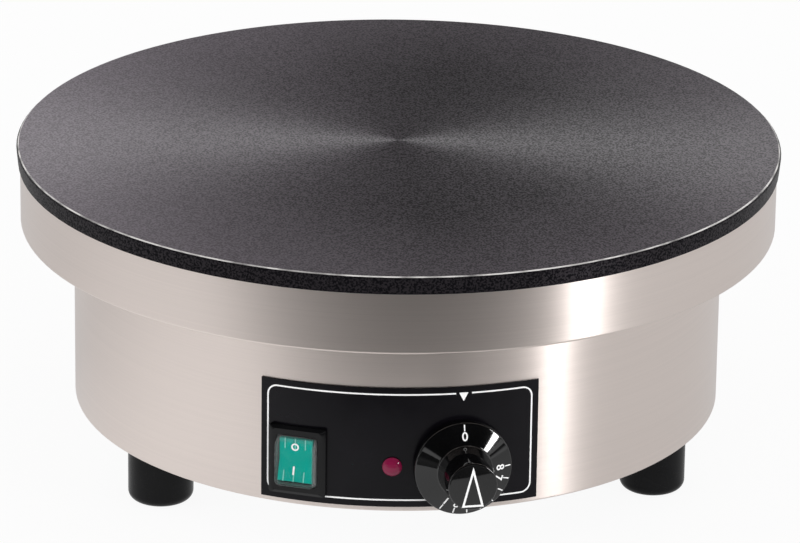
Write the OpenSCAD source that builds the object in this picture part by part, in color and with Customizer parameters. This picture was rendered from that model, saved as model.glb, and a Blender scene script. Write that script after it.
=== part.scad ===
// Electric crepe maker: a round cast-iron griddle on a two-step stainless
// casing, with a switch, a pilot light and a thermostat knob at the front.
// Millimetres. Z is up and the feet stand on z = 0, with the plate's axis at
// x = y = 0. The front, where the controls are, faces -Y.

/* [Griddle plate] */
// Diameter across the plate's widest edge
plate_d = 400; // [394:1:420]
// Height of the rim that shows above the casing ring
plate_rim_h = 9.4; // [7:0.2:14]
// Height of the spigot under the rim, which drops inside the ring
spigot_h = 4; // [3:0.2:6]
// Chamfer round the top face
plate_chamfer = 1.2; // [0.4:0.1:2]
// How much smaller the rim's radius is at its lower edge
plate_draft = 0.8; // [0:0.1:1.2]
// Diameter of the three bosses that the tie studs screw into
boss_d = 18; // [16:0.5:20]
// Height of the bosses under the plate
boss_h = 6; // [4:0.5:8]
// Width of the stiffening rib under the plate's edge
rib_w = 6; // [4:0.5:9]
// Height of the stiffening rib
rib_h = 4; // [2:0.5:8]

/* [Casing] */
// Radial step from the plate's edge in to the ring's outer face
ring_inset = 1.8; // [1.4:0.1:3]
// Height of the ring's outer wall
ring_h = 32.3; // [31:0.5:42]
// Gap between the ring's top edge and the plate's rim
ring_gap = 0.3; // [0.2:0.1:1]
// Gap between the ring's wall and the plate's spigot
spigot_gap = 1.5; // [0.5:0.1:3]
// Radius of the ring's lower outer edge
ring_edge_r = 1.5; // [1.3:0.1:3]
// Thickness of the ring's and the drum's sheet
sheet_t = 1.2; // [1:0.1:1.5]
// Outside diameter of the drum
drum_d = 340.4; // [338:0.4:352]
// Height of the drum
drum_h = 96.1; // [94:0.5:120]
// Radius of the fold round the drum's lower edge
drum_edge_r = 1; // [0.5:0.1:1.2]
// Width of the flange turned in at the top of the drum
top_flange_w = 19; // [18:0.5:24]
// Width of the flange turned in at the foot of the drum
base_flange_w = 29; // [28:0.5:34]
// Thickness of the base cover
cover_t = 1.2; // [0.8:0.1:2]
// Margin from the drum's wall in to the base cover's edge
cover_margin = 4.2; // [3:0.2:6]
// Number of vent slots in the base cover
vent_count = 18; // [8:1:24]
// Length of a vent slot
vent_len = 34; // [20:1:44]
// Width of a vent slot
vent_w = 5; // [3:0.5:8]

/* [Feet] */
// Diameter of a foot
foot_d = 34; // [30:0.5:36]
// Height of a foot, from the ground to the base cover
foot_h = 28.8; // [26:0.2:40]
// Radius round a foot's lower edge
foot_edge_r = 5; // [2:0.5:6]
// Radius of the circle that the feet stand on
foot_circle_r = 148.5; // [147:0.5:151]
// How far the three feet are turned from the controls' centre line
foot_turn = 5.2; // [2:0.2:8]

/* [Tie studs and fasteners] */
// Diameter of the tie studs and the foot bolts
stud_d = 8; // [6:0.5:8]
// Distance from the drum's outer face in to the tie studs
tie_inset = 10.4; // [10:0.2:11]
// Outer diameter of the spacer tubes on the tie studs
spacer_d = 14; // [12:0.5:15]
// Depth of thread in the plate's bosses
stud_depth = 12; // [8:0.5:13]

/* [Heating] */
// Diameter of the tubular heating element
tube_d = 8; // [6.5:0.1:8.5]
// Spacing between the element's neighbouring turns
turn_gap = 26; // [24:0.5:26.5]
// Radius of the two small bends at the element's centre
centre_bend_r = 12; // [10:0.5:12.5]
// Depth of the groove in the plate that the element lies in
groove_depth = 2; // [1:0.2:3]
// Radius of the bends that turn the element's ends down
end_bend_r = 14; // [12:0.5:16]
// Width of an element clamp
clamp_w = 16; // [12:0.5:18]
// Thickness of an element clamp
clamp_t = 2.5; // [2:0.1:3]
// Thickness of the insulation blanket
blanket_t = 11; // [8:0.5:11.5]
// Thickness of the reflector plate
reflector_t = 0.8; // [0.5:0.1:1]
// Diameter of the thermostat's sensing bulb
bulb_d = 6; // [5:0.1:7]
// Length of the sensing bulb
bulb_len = 90; // [70:1:100]
// Gap between the element's outer turn and the sensing bulb
bulb_gap = 6; // [4.6:0.1:6.8]
// Diameter of the capillary tube
capillary_d = 1.6; // [1.2:0.1:2]

/* [Control panel] */
// Arc length of the panel to the left of the centre line
panel_left = 69; // [66:0.5:80]
// Arc length of the panel to the right of the centre line
panel_right = 74; // [66:0.5:85]
// Height of the panel
panel_h = 64.4; // [58:0.2:80]
// Height of the panel's lower edge above the drum's
panel_up = 2.8; // [2:0.2:5]
// Thickness of the panel
panel_t = 0.8; // [0.5:0.1:1.2]
// Height of the controls' centres above the drum's lower edge
controls_up = 25; // [24:0.5:30]

/* [Switch] */
// Arc length from the centre line to the switch, to the left
switch_left = 49.2; // [46:0.2:52]
// Width of the switch frame
frame_w = 30; // [29:0.5:33]
// Height of the switch frame
frame_h = 37; // [36:0.5:40]
// How far the frame stands out from the drum
frame_out = 3.4; // [3.2:0.1:4.5]
// Width of the splash cap at its foot
cap_w = 21; // [20.4:0.1:22]
// Height of the splash cap at its foot
cap_h = 26.5; // [26:0.1:28]
// How far the splash cap stands out from the drum
cap_out = 8.2; // [7.8:0.1:10]
// Wall of the splash cap
cap_wall = 0.8; // [0.5:0.1:1]
// Width of the rocker
rocker_w = 17.4; // [16:0.1:17.4]
// Radius of the rocker's ends about its pivot
rocker_r = 12.2; // [11.4:0.1:12.2]
// Distance from the pivot to the rocker's faces
rocker_face = 3.7; // [3.2:0.1:3.9]
// Tilt of the rocker to each side of its middle
rocker_tilt = 9; // [6:0.5:9]
// Tilt of the contact levers to each side of their middle
lever_tilt = 8; // [5:0.5:8]

/* [Pilot light] */
// Arc length from the centre line to the pilot light, to the left
pilot_left = 1.2; // [0:0.2:4]
// Diameter of the pilot light's lens
lens_d = 10; // [9:0.2:12]
// How far the lens stands out from the drum
lens_out = 4; // [3:0.2:6]

/* [Knob and thermostat] */
// Arc length from the centre line to the knob, to the right
knob_right = 33.7; // [32:0.1:36]
// Diameter of the knob's skirt
knob_d = 50; // [46:0.5:54]
// Distance from the drum to the front edge of the skirt's rim
knob_rim_out = 6; // [5.4:0.1:8]
// Distance from the drum to the foot of the knob's grip
grip_foot_out = 10; // [9:0.2:12]
// Diameter of the grip at its foot
grip_foot_d = 28; // [25:0.5:32]
// Diameter of the grip at its end
grip_end_d = 25; // [22:0.5:25]
// Distance from the drum to the grip's end
knob_out = 30; // [26:0.5:34]
// Wall of the knob
knob_wall = 2; // [1.5:0.1:2.5]
// Diameter of the thermostat's shaft
shaft_d = 6; // [5:0.1:6.4]
// Width, across the drum, of the thermostat's body
stat_w = 36; // [32:0.5:40]
// Height of the thermostat's body
stat_h = 34; // [30:0.5:38]
// Depth of the thermostat's body
stat_depth = 24; // [20:0.5:26]

/* [Mains inlet] */
// Diameter of the gland's thread
gland_d = 20; // [16:0.5:20]
// Diameter of the cable passage through the gland
gland_bore_d = 12; // [8:0.5:12]
// Height of the gland above the drum's lower edge
gland_up = 36; // [32:0.5:50]

/* [Hidden] */
$fn = 96;

// Clearances: a seat that only touches, a running fit, and the air round a moving piece
seat = 0.05;
running = 0.05;
free = 0.3;
hole_ease = 0.25;

// Levels, from the ground up
drum_z = foot_h + cover_t;
shelf_z = drum_z + drum_h;
ring_top_z = shelf_z + ring_h;
rim_z = ring_top_z + ring_gap;
plate_z = rim_z - spigot_h;
top_z = rim_z + plate_rim_h;
floor_z = shelf_z + sheet_t;
reflector_z = floor_z + blanket_t;
controls_z = drum_z + controls_up;
gland_z = drum_z + gland_up;
flange_z = drum_z + sheet_t;

// Radii
plate_r = plate_d / 2;
ring_r = plate_r - ring_inset;
spigot_r = ring_r - sheet_t - spigot_gap;
drum_r = drum_d / 2;
drum_inner_r = drum_r - sheet_t;
tie_r = drum_r - tie_inset;
cover_r = drum_r - cover_margin;
cover_screw_r = cover_r - 12;
face_r = drum_r + panel_t;

// Small fasteners
m3 = 3;
m4 = 4;
m5 = 5;
m3_head_d = 5.5;
m4_head_d = 7.5;
small_head_h = 2;
washer_t = 1.6;
stud_washer_d = 2 * stud_d;
nut_h = 0.8 * stud_d;
nut_af = 1.625 * stud_d;
head_h = 0.66 * stud_d;
stud_tail = 3;

// Heating element: the half turns behind and in front of the plate's axis are
// centred half a spacing to the left and to the right, so they join smoothly
back_turns = 5;
front_turns = 4;
turn_shift = turn_gap / 2;
tube_z = plate_z + groove_depth - tube_d / 2;
end_lead = 4;
end_y = -end_lead - end_bend_r;
outer_end_x = -turn_shift - turn_r(back_turns - 1);
inner_end_x = -turn_shift - turn_r(front_turns - 1);
pin_d = 4;
pin_len = 10;
sheath_end_z = shelf_z - 12;
pin_end_z = sheath_end_z - pin_len;
bush_d = 12;
bush_head_d = 16;
bush_head_h = 3;
bush_drop = 8;

// Element clamps, one in each third between the tie studs
clamp_z = tube_z - tube_d / 2 - seat;
clamp_over = 9;
clamp_screw_depth = 7;
clamp_head_d = 8.5;
clamp_head_h = 3.5;

// Sensing bulb, under the front right of the plate
bulb_a = 30;
bulb_r = turn_cross(bulb_a, front_turns - 1) + tube_d / 2 + bulb_gap + bulb_d / 2;
bulb_z = plate_z - bulb_d / 2 - seat;
clip_w = 10;
clip_t = 1;
clip_ear = 11;
clip_screw_y = -bulb_d / 2 - clip_t - clip_ear / 2;
clip_x = bulb_len / 4;

// Angles from the front, positive to the right
panel_left_a = -arc_angle(panel_left);
panel_right_a = arc_angle(panel_right);
switch_a = -arc_angle(switch_left);
pilot_a = -arc_angle(pilot_left);
knob_a = arc_angle(knob_right);
block_a = 145;
earth_a = (block_a + leg_angle(1)) / 2;
cutout_a = -30;
cutout_r = 108;

// Switch, measured inwards (negative) and outwards from the drum's outer face
cut_w = 22.4;
cut_h = 30.4;
housing_w = 22;
housing_h = 30;
flange_w = 25;
flange_h = 32;
flange_out = panel_t + 1.25;
cap_flange_t = 0.6;
cavity_w = rocker_w + 2 * free;
cavity_h = 2 * (rocker_r + free);
pivot_in = 1;
plunger_reach = 9;
plunger_r = 1.3;
sleeve_r = 2.1;
lever_block = 1.2;
lever_pivot_in = pivot_in + plunger_reach + free + lever_block;
lever_arm = 7;
lever_w = 5;
lever_t = 0.8;
contact_in = lever_pivot_in + lever_arm * sin(lever_tilt) + lever_t / 2 + free;
back_wall_in = contact_in + 1.4;
housing_in = back_wall_in + 2.4;
blade_in = housing_in + 9;
blade_w = 6.3;
blade_t = 0.8;
pole_x = 4.5;
contact_z = 8.65;
trunnion_r = 1.5;
trunnion_span = housing_w - 1.6;
bore_out = 1;
spring_wire = 0.35;
spring_turns = 5;
plunger_back = -4;
lever_pin_r = 0.6;

// Pilot light
pilot_body_r = 4;
pilot_bore_r = 3.3;
pilot_in = 20;

// Thermostat
strap_w = 14;
strap_t = 1.5;
strap_in = sheet_t + sagitta(strap_w / 2, drum_inner_r) + seat;
strap_h = 46;
stat_screw_z = 14;
stat_in = strap_in + strap_t;
stat_back = stat_in + stat_depth;
shaft_in = 16;
shaft_out = 20;
shaft_flat = 1.4;
shaft_bush_r = 5;
shaft_hole_r = 5.6;
stat_blade_x = 9;
stat_blade_len = 8;

// Knob
knob_back_out = panel_t + 1.2;
hub_r = 5.6;
hub_back_out = panel_t + 3.4;
clip_leaf = 0.5;

// Mains inlet
gland_hex_af = gland_d + 4;
gland_flange_out = 7;
gland_thread_in = 12;
gland_thread_out = 14;
gland_cap_out = 21;
gland_seal_len = 5;
locknut_h = 5;
block_w = 40;
block_deep = 18;
block_high = 16;
block_gap = 6;
block_r = drum_inner_r - block_gap - block_deep / 2;
way_pitch = 12;
wire_d = 3;
earth_lug_r = cover_screw_r - 7;
cutout_h = 11;
cutout_blade = 8;
cutout_blade_y = 4;

function arc_angle(s) = s / drum_r * 180 / PI;
function sagitta(x, r) = r - sqrt(r * r - x * x);
function leg_angle(i) = foot_turn + 60 + 120 * i;
function turn_r(k) = 2 * centre_bend_r + turn_gap / 2 + turn_gap * k;

// Points at an angle from the front, and in the frame of a place on the drum
function drum_pt(a, r, z) = [r * sin(a), -r * cos(a), z];
function local_pt(a, x, depth, z) = [
    (drum_r - depth) * sin(a) + x * cos(a),
    -(drum_r - depth) * cos(a) + x * sin(a),
    z
];

// Distance from the plate's axis at which a ray at angle a, from the front,
// crosses turn k of the element
function ray_back(a) = cos(a) < 0;
function ray_shift(a) = (ray_back(a) ? -1 : 1) * turn_shift * sin(a);
function turn_cross(a, k) =
    ray_shift(a) + sqrt(pow(ray_shift(a), 2) - pow(turn_shift, 2) + pow(turn_r(k), 2));
function clamp_angle(i) = leg_angle(i) + 60;
function clamp_turns(i) = ray_back(clamp_angle(i)) ? back_turns : front_turns;
function clamp_start(i) = turn_cross(clamp_angle(i), 0) - clamp_over;
function clamp_end(i) = turn_cross(clamp_angle(i), clamp_turns(i) - 1) + clamp_over;
function clamp_screw(i, k) =
    (turn_cross(clamp_angle(i), k) + turn_cross(clamp_angle(i), k + 1)) / 2;

// Smooth path through a list of points, with a number of steps in each span
function at(p, i) = p[max(0, min(len(p) - 1, i))];
function spline(a, b, c, d, t) =
    0.5 * (2 * b + (c - a) * t + (2 * a - 5 * b + 4 * c - d) * t * t
    + (3 * b - a - 3 * c + d) * t * t * t);
function smooth(p, n) = concat(
    [for (i = [0 : len(p) - 2], j = [0 : n - 1])
        spline(at(p, i - 1), p[i], p[i + 1], at(p, i + 2), j / n)],
    [p[len(p) - 1]]
);
function straight_ended(p) = concat(
    [p[0]],
    smooth([for (i = [1 : len(p) - 2]) p[i]], 2),
    [p[len(p) - 1]]
);
function unit(v) = v / norm(v);
function heading(p, i) = unit(at(p, i + 1) - at(p, i - 1));
function carry(side, along) = unit(side - (side * along) * along);
function sides(p, i) = i == 0
    ? [carry(abs(heading(p, 0).z) > 0.9 ? [1, 0, 0] : [0, 0, 1], heading(p, 0))]
    : let (before = sides(p, i - 1))
        concat(before, [carry(before[i - 1], heading(p, i))]);

// Round tube swept along a path, as one closed polyhedron
module swept_tube(path, d, n = 8) {
    last = len(path) - 1;
    frames = sides(path, last);
    points = [for (i = [0 : last], j = [0 : n - 1])
        let (s = frames[i], w = cross(heading(path, i), s), t = 360 * j / n)
            path[i] + d / 2 * (cos(t) * s + sin(t) * w)];
    walls = [for (i = [0 : last - 1], j = [0 : n - 1])
        let (a = i * n + j, b = i * n + (j + 1) % n)
            each [[a, a + n, b + n], [a, b + n, b]]];
    polyhedron(points = points, faces = concat(walls,
        [[for (j = [0 : n - 1]) j]],
        [[for (j = [n - 1 : -1 : 0]) last * n + j]]));
}

// Children at an angle from the front and a distance from the plate's axis
module around(a, r, z = 0) {
    rotate([0, 0, a]) translate([0, -r, z]) children();
}

// Children in the frame of a place on the drum: outwards is -Y
module on_drum(a, z) {
    around(a, drum_r, z) children();
}

// In that frame: a round bar, a box and a turned shape on the outward axis
module peg(r, from, to) {
    rotate([90, 0, 0]) translate([0, 0, from]) cylinder(r = r, h = to - from);
}

module block(w, h, from, to) {
    translate([-w / 2, -to, -h / 2]) cube([w, to - from, h]);
}

module turned() {
    rotate([90, 0, 0]) rotate_extrude() children();
}

// Rounded rectangle in two dimensions, centred
module rounded(w, h, r) {
    square([w - 2 * r, h], center = true);
    square([w, h - 2 * r], center = true);
    for (x = [-1, 1], y = [-1, 1])
        translate([x * (w / 2 - r), y * (h / 2 - r)]) circle(r = r, $fn = 32);
}

module rounded_block(w, h, r, from, to) {
    rotate([90, 0, 0]) translate([0, 0, from]) linear_extrude(to - from) rounded(w, h, r);
}

// The drum's round face, as a core to cut what is seated on it
module drum_core(r) {
    translate([0, drum_r, -drum_h]) cylinder(r = r, h = 2 * drum_h, $fn = 360);
}

// What is left of a rounded corner of radius r at the origin, to cut away:
// the corner points to +X and -Y
module corner_waste(r) {
    difference() {
        translate([-r, -1]) square([r + 1, r + 1]);
        translate([-r, r]) circle(r = r);
    }
}

module hex_prism(af, h) {
    cylinder(d = af / cos(30), h = h, $fn = 6);
}

module washer(outer, inner, t) {
    difference() {
        cylinder(d = outer, h = t);
        translate([0, 0, -1]) cylinder(d = inner, h = t + 2);
    }
}

module nut(size, af, h) {
    difference() {
        hex_prism(af, h);
        translate([0, 0, -1]) cylinder(d = size + 2 * seat, h = h + 2);
    }
}

// Screw with a round head on z = 0 and its shank pointing up
module round_screw(size, shank, head_d, head_h) {
    cylinder(d = size, h = shank);
    translate([0, 0, -head_h]) cylinder(d = head_d, h = head_h);
}

// ---- The hot top -----------------------------------------------------------

// The element's whole centre line as a solid of diameter d
module half_turn(r, x, start, d) {
    translate([x, 0, 0]) rotate([0, 0, start])
        rotate_extrude(angle = 180) translate([r, 0]) circle(d = d, $fn = 32);
}

module element_coil(d) {
    half_turn(centre_bend_r, -centre_bend_r, 0, d);
    half_turn(centre_bend_r, centre_bend_r, 180, d);
    for (k = [0 : back_turns - 1]) half_turn(turn_r(k), -turn_shift, 0, d);
    for (k = [0 : front_turns - 1]) half_turn(turn_r(k), turn_shift, 180, d);
}

// The same route as a flat band of width w, for the groove in the plate
module half_band(r, x, side, w) {
    intersection() {
        translate([x, 0]) difference() {
            circle(r = r + w / 2);
            circle(r = r - w / 2);
        }
        translate([-plate_r, side > 0 ? 0 : -plate_r]) square([plate_d, plate_r]);
    }
}

module coil_band(w) {
    half_band(centre_bend_r, -centre_bend_r, 1, w);
    half_band(centre_bend_r, centre_bend_r, -1, w);
    for (k = [0 : back_turns - 1]) half_band(turn_r(k), -turn_shift, 1, w);
    for (k = [0 : front_turns - 1]) half_band(turn_r(k), turn_shift, -1, w);
    for (x = [outer_end_x, inner_end_x]) translate([x - w / 2, end_y])
        square([w, -end_y]);
}

module element_end(x) {
    translate([x, 0, tube_z]) {
        rotate([90, 0, 0]) cylinder(d = tube_d, h = end_lead, $fn = 32);
        translate([0, -end_lead, -end_bend_r]) rotate([0, -90, 180])
            rotate_extrude(angle = 90) translate([end_bend_r, 0]) circle(d = tube_d, $fn = 32);
    }
    translate([x, end_y, sheath_end_z])
        cylinder(d = tube_d, h = tube_z - end_bend_r - sheath_end_z, $fn = 32);
    translate([x, end_y, pin_end_z]) cylinder(d = pin_d, h = pin_len + 1);
}

module at_element_ends() {
    for (x = [outer_end_x, inner_end_x]) translate([x, end_y, 0]) children();
}

module heating_element() {
    color("dimgray") {
        translate([0, 0, tube_z]) element_coil(tube_d);
        element_end(outer_end_x);
        element_end(inner_end_x);
    }
}

module plate_profile() {
    polygon([
        [0, plate_z],
        [spigot_r, plate_z],
        [spigot_r, rim_z],
        [plate_r - plate_draft, rim_z],
        [plate_r, top_z - plate_chamfer],
        [plate_r - plate_chamfer, top_z],
        [0, top_z]
    ]);
}

module griddle_plate() {
    rib_r = spigot_r - 6;
    color([0.2, 0.2, 0.21]) difference() {
        union() {
            rotate_extrude($fn = 360) plate_profile();
            rotate_extrude($fn = 360)
                translate([rib_r - rib_w, plate_z - rib_h]) square([rib_w, rib_h + 1]);
            for (i = [0 : 2]) around(leg_angle(i), tie_r, plate_z - boss_h)
                cylinder(d = boss_d, h = boss_h + 1);
        }
        translate([0, 0, plate_z - 1]) linear_extrude(groove_depth + seat + 1)
            coil_band(tube_d + 2 * seat);
        for (i = [0 : 2]) {
            around(leg_angle(i), tie_r, plate_z - boss_h - 1)
                cylinder(d = stud_d + 2 * seat, h = stud_depth + 1);
            for (k = [0, clamp_turns(i) - 2]) around(clamp_angle(i), clamp_screw(i, k), plate_z - 1)
                cylinder(d = m5 + 2 * seat, h = clamp_screw_depth + 2);
        }
        at_clip_screws() translate([0, 0, plate_z - 1])
            cylinder(d = m4 + 2 * seat, h = clamp_screw_depth + 1);
    }
}

module element_clamps() {
    color("silver") for (i = [0 : 2]) rotate([0, 0, clamp_angle(i)]) difference() {
        translate([-clamp_w / 2, -clamp_end(i), clamp_z - clamp_t])
            cube([clamp_w, clamp_end(i) - clamp_start(i), clamp_t]);
        for (k = [0, clamp_turns(i) - 2])
            translate([0, -clamp_screw(i, k), clamp_z - clamp_t - 1])
                cylinder(d = m5 + 2 * hole_ease, h = clamp_t + 2);
    }
}

module clamp_screws() {
    shank = plate_z + clamp_screw_depth - clamp_z + clamp_t;
    color("gainsboro") for (i = [0 : 2], k = [0, clamp_turns(i) - 2])
        around(clamp_angle(i), clamp_screw(i, k), clamp_z - clamp_t)
            round_screw(m5, shank, clamp_head_d, clamp_head_h);
}

// Frame of the sensing bulb: X runs along it and Y points outwards
module on_bulb() {
    rotate([0, 0, bulb_a]) translate([0, -bulb_r, 0]) children();
}

module sensing_bulb() {
    color("peru") on_bulb() translate([-bulb_len / 2, 0, bulb_z])
        rotate([0, 90, 0]) cylinder(d = bulb_d, h = bulb_len);
}

module at_clip_screws() {
    on_bulb() for (s = [-1, 1]) translate([s * clip_x, clip_screw_y, 0]) children();
}

// Two saddles over the bulb, each with one ear on its outer side
module bulb_clips() {
    saddle_r = bulb_d / 2 + clip_t + seat;
    color("silver") difference() {
        on_bulb() for (s = [-1, 1]) translate([s * clip_x, 0, 0]) difference() {
            union() {
                translate([-clip_w / 2, 0, bulb_z]) rotate([0, 90, 0])
                    cylinder(r = saddle_r, h = clip_w);
                translate([-clip_w / 2, -saddle_r - clip_ear, plate_z - clip_t - seat])
                    cube([clip_w, saddle_r + clip_ear, clip_t]);
            }
            translate([-clip_w, 0, bulb_z]) rotate([0, 90, 0])
                cylinder(d = bulb_d + 2 * seat, h = 2 * clip_w);
            translate([-clip_w, -bulb_d, plate_z - seat]) cube([2 * clip_w, 2 * bulb_d, bulb_d]);
            translate([-clip_w, -bulb_d / 2 - seat, bulb_z])
                cube([2 * clip_w, bulb_d + 2 * seat, bulb_d]);
        }
        at_clip_screws() translate([0, 0, bulb_z - bulb_d])
            cylinder(d = m4 + 2 * hole_ease, h = 3 * bulb_d);
    }
}

module clip_screws() {
    color("gainsboro") at_clip_screws() translate([0, 0, plate_z - clip_t - seat])
        round_screw(m4, clamp_screw_depth, m4_head_d, small_head_h);
}

// ---- The casing ------------------------------------------------------------

// Small pieces that pass through the pan's floor
grommet_hole_d = 8;
capillary_x = -bulb_len / 2 - 5;

module at_grommet() {
    on_bulb() translate([capillary_x, 0, 0]) children();
}

module floor_holes(extra, bottom, h) {
    for (i = [0 : 2]) around(leg_angle(i), tie_r, bottom) cylinder(d = extra, h = h);
}

module upper_pan() {
    color("gainsboro") difference() {
        translate([0, 0, shelf_z]) rotate_extrude($fn = 360) difference() {
            square([ring_r, ring_h]);
            translate([-1, sheet_t]) square([ring_r - sheet_t + 1, ring_h]);
            translate([ring_r, 0]) corner_waste(ring_edge_r);
        }
        floor_holes(stud_d + 2 * hole_ease, shelf_z - 1, sheet_t + 2);
        translate([0, 0, shelf_z - 1]) {
            at_element_ends() cylinder(d = bush_d + 2 * hole_ease, h = sheet_t + 2);
            at_grommet() cylinder(d = grommet_hole_d, h = sheet_t + 2);
            at_cutout_screws() cylinder(d = m3 + 2 * seat, h = sheet_t + 2);
        }
    }
}

module insulation_blanket() {
    edge_gap = 2;
    color("lemonchiffon") difference() {
        translate([0, 0, floor_z]) cylinder(r = ring_r - sheet_t - edge_gap, h = blanket_t, $fn = 360);
        floor_holes(spacer_d + 2 * hole_ease, floor_z - 1, blanket_t + 2);
        translate([0, 0, floor_z - 1]) {
            at_element_ends() cylinder(d = bush_head_d + 2 * hole_ease, h = blanket_t + 2);
            at_grommet() cylinder(d = grommet_hole_d + 6, h = blanket_t + 2);
            at_cutout_screws() cylinder(d = m3 + 4, h = blanket_t + 2);
        }
    }
}

module reflector_plate() {
    edge_gap = 6;
    color("whitesmoke") difference() {
        translate([0, 0, reflector_z])
            cylinder(r = ring_r - sheet_t - edge_gap, h = reflector_t, $fn = 360);
        floor_holes(spacer_d + 2 * hole_ease, reflector_z - 1, reflector_t + 2);
        translate([0, 0, reflector_z - 1]) {
            at_element_ends() cylinder(d = tube_d + 4, h = reflector_t + 2);
            at_grommet() cylinder(d = grommet_hole_d, h = reflector_t + 2);
        }
    }
}

module element_bushes() {
    color("white") at_element_ends() difference() {
        union() {
            translate([0, 0, floor_z]) cylinder(d = bush_head_d, h = bush_head_h);
            translate([0, 0, shelf_z - bush_drop]) cylinder(d = bush_d, h = bush_drop + sheet_t + 1);
        }
        translate([0, 0, shelf_z - bush_drop - 1])
            cylinder(d = tube_d + 2 * seat, h = bush_drop + sheet_t + bush_head_h + 2);
    }
}

module drum_profile() {
    difference() {
        translate([0, 0]) square([drum_r, drum_h]);
        translate([-1, sheet_t]) square([drum_inner_r + 1, drum_h - 2 * sheet_t]);
        translate([-1, -1]) square([drum_inner_r - base_flange_w + 1, drum_h / 2]);
        translate([-1, drum_h / 2]) square([drum_inner_r - top_flange_w + 1, drum_h]);
        translate([drum_r, 0]) corner_waste(drum_edge_r);
    }
}

// Cut-outs for the controls, through the drum's wall or through the panel
module control_cuts(from, to) {
    on_drum(switch_a, controls_z) block(cut_w, cut_h, from, to);
    on_drum(pilot_a, controls_z) peg(pilot_body_r + 0.1, from, to);
    on_drum(knob_a, controls_z) {
        peg(shaft_hole_r, from, to);
        for (s = [-1, 1]) translate([0, 0, s * stat_screw_z]) peg(m4 / 2 + hole_ease, from, to);
    }
}

module casing_drum() {
    cut = 6;
    color("gainsboro") difference() {
        translate([0, 0, drum_z]) rotate_extrude($fn = 360) drum_profile();
        control_cuts(-cut, cut);
        on_drum(180, gland_z) peg(gland_d / 2 + hole_ease, -cut, cut);
        floor_holes(stud_d + 2 * hole_ease, shelf_z - sheet_t - 1, sheet_t + 2);
        translate([0, 0, shelf_z - sheet_t - 1]) {
            at_element_ends() cylinder(d = bush_head_d, h = sheet_t + 2);
        }
        translate([0, 0, drum_z - 1]) {
            at_feet() cylinder(d = stud_d + 2 * hole_ease, h = sheet_t + 2);
            at_cover_screws() cylinder(d = m4 + 2 * seat, h = sheet_t + 2);
            at_block_screws() cylinder(d = m3 + 2 * seat, h = sheet_t + 2);
            at_earth() cylinder(d = m5 + 2 * hole_ease, h = sheet_t + 2);
        }
    }
}

module at_feet() {
    for (i = [0 : 2]) around(leg_angle(i), foot_circle_r) children();
}

module at_cover_screws() {
    for (i = [0 : 2]) around(clamp_angle(i), cover_screw_r) children();
}

module base_cover() {
    vent_r = 78;
    earth_room = 14;
    color("silver") difference() {
        translate([0, 0, foot_h]) cylinder(r = cover_r, h = cover_t, $fn = 360);
        translate([0, 0, foot_h - 1]) {
            at_feet() cylinder(d = stud_d + 2 * hole_ease, h = cover_t + 2);
            at_cover_screws() cylinder(d = m4 + 2 * hole_ease, h = cover_t + 2);
            at_earth() cylinder(d = earth_room, h = cover_t + 2);
            at_block_screws() cylinder(d = m3_head_d + 2.5, h = cover_t + 2);
            for (i = [0 : vent_count - 1]) around(360 / vent_count * i, vent_r)
                linear_extrude(cover_t + 2) rounded(vent_w, vent_len, vent_w / 2 - 0.01);
        }
    }
}

module cover_screws() {
    color("gainsboro") at_cover_screws() translate([0, 0, foot_h])
        round_screw(m4, cover_t + sheet_t + 5, m4_head_d, small_head_h);
}

// ---- Feet ------------------------------------------------------------------

foot_recess_d = 18.5;
foot_recess_h = 14;

module foot_profile() {
    difference() {
        square([foot_d / 2, foot_h]);
        translate([foot_d / 2, 0]) corner_waste(foot_edge_r);
    }
}

module foot(i) {
    color([0.1, 0.1, 0.1]) around(leg_angle(i), foot_circle_r) difference() {
        rotate_extrude() foot_profile();
        translate([0, 0, -1]) cylinder(d = foot_recess_d, h = foot_recess_h + 1);
        cylinder(d = stud_d + 2 * hole_ease, h = foot_h + 1);
    }
}

module foot_front_right() {
    foot(0);
}

module foot_rear() {
    foot(1);
}

module foot_front_left() {
    foot(2);
}

module foot_bolts() {
    head_top = foot_recess_h - washer_t;
    color("gainsboro") at_feet() {
        translate([0, 0, head_top - head_h]) hex_prism(nut_af, head_h);
        translate([0, 0, head_top])
            cylinder(d = stud_d, h = flange_z + washer_t + nut_h + stud_tail - head_top);
    }
}

// ---- Ties between plate, pan and drum --------------------------------------

tie_nut_z = shelf_z - sheet_t - washer_t - nut_h;

module tie_studs() {
    stud_top = plate_z - boss_h + stud_depth - 0.5;
    color("silver") for (i = [0 : 2]) around(leg_angle(i), tie_r, tie_nut_z - stud_tail)
        cylinder(d = stud_d, h = stud_top - tie_nut_z + stud_tail);
}

module spacer_tubes() {
    color("silver") for (i = [0 : 2]) around(leg_angle(i), tie_r, floor_z)
        washer(spacer_d, stud_d + 2 * hole_ease, plate_z - boss_h - floor_z);
}

// The same washers and nuts serve the studs and the foot bolts
module stud_washers() {
    color("silver") {
        for (i = [0 : 2]) around(leg_angle(i), tie_r, tie_nut_z + nut_h)
            washer(stud_washer_d, stud_d + 2 * hole_ease, washer_t);
        at_feet() for (z = [foot_recess_h - washer_t, flange_z]) translate([0, 0, z])
            washer(stud_washer_d, stud_d + 2 * hole_ease, washer_t);
    }
}

module stud_nuts() {
    color("gainsboro") {
        for (i = [0 : 2]) around(leg_angle(i), tie_r, tie_nut_z) nut(stud_d, nut_af, nut_h);
        at_feet() translate([0, 0, flange_z + washer_t]) nut(stud_d, nut_af, nut_h);
    }
}

// ---- Capillary and safety cut-out ------------------------------------------

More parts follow.
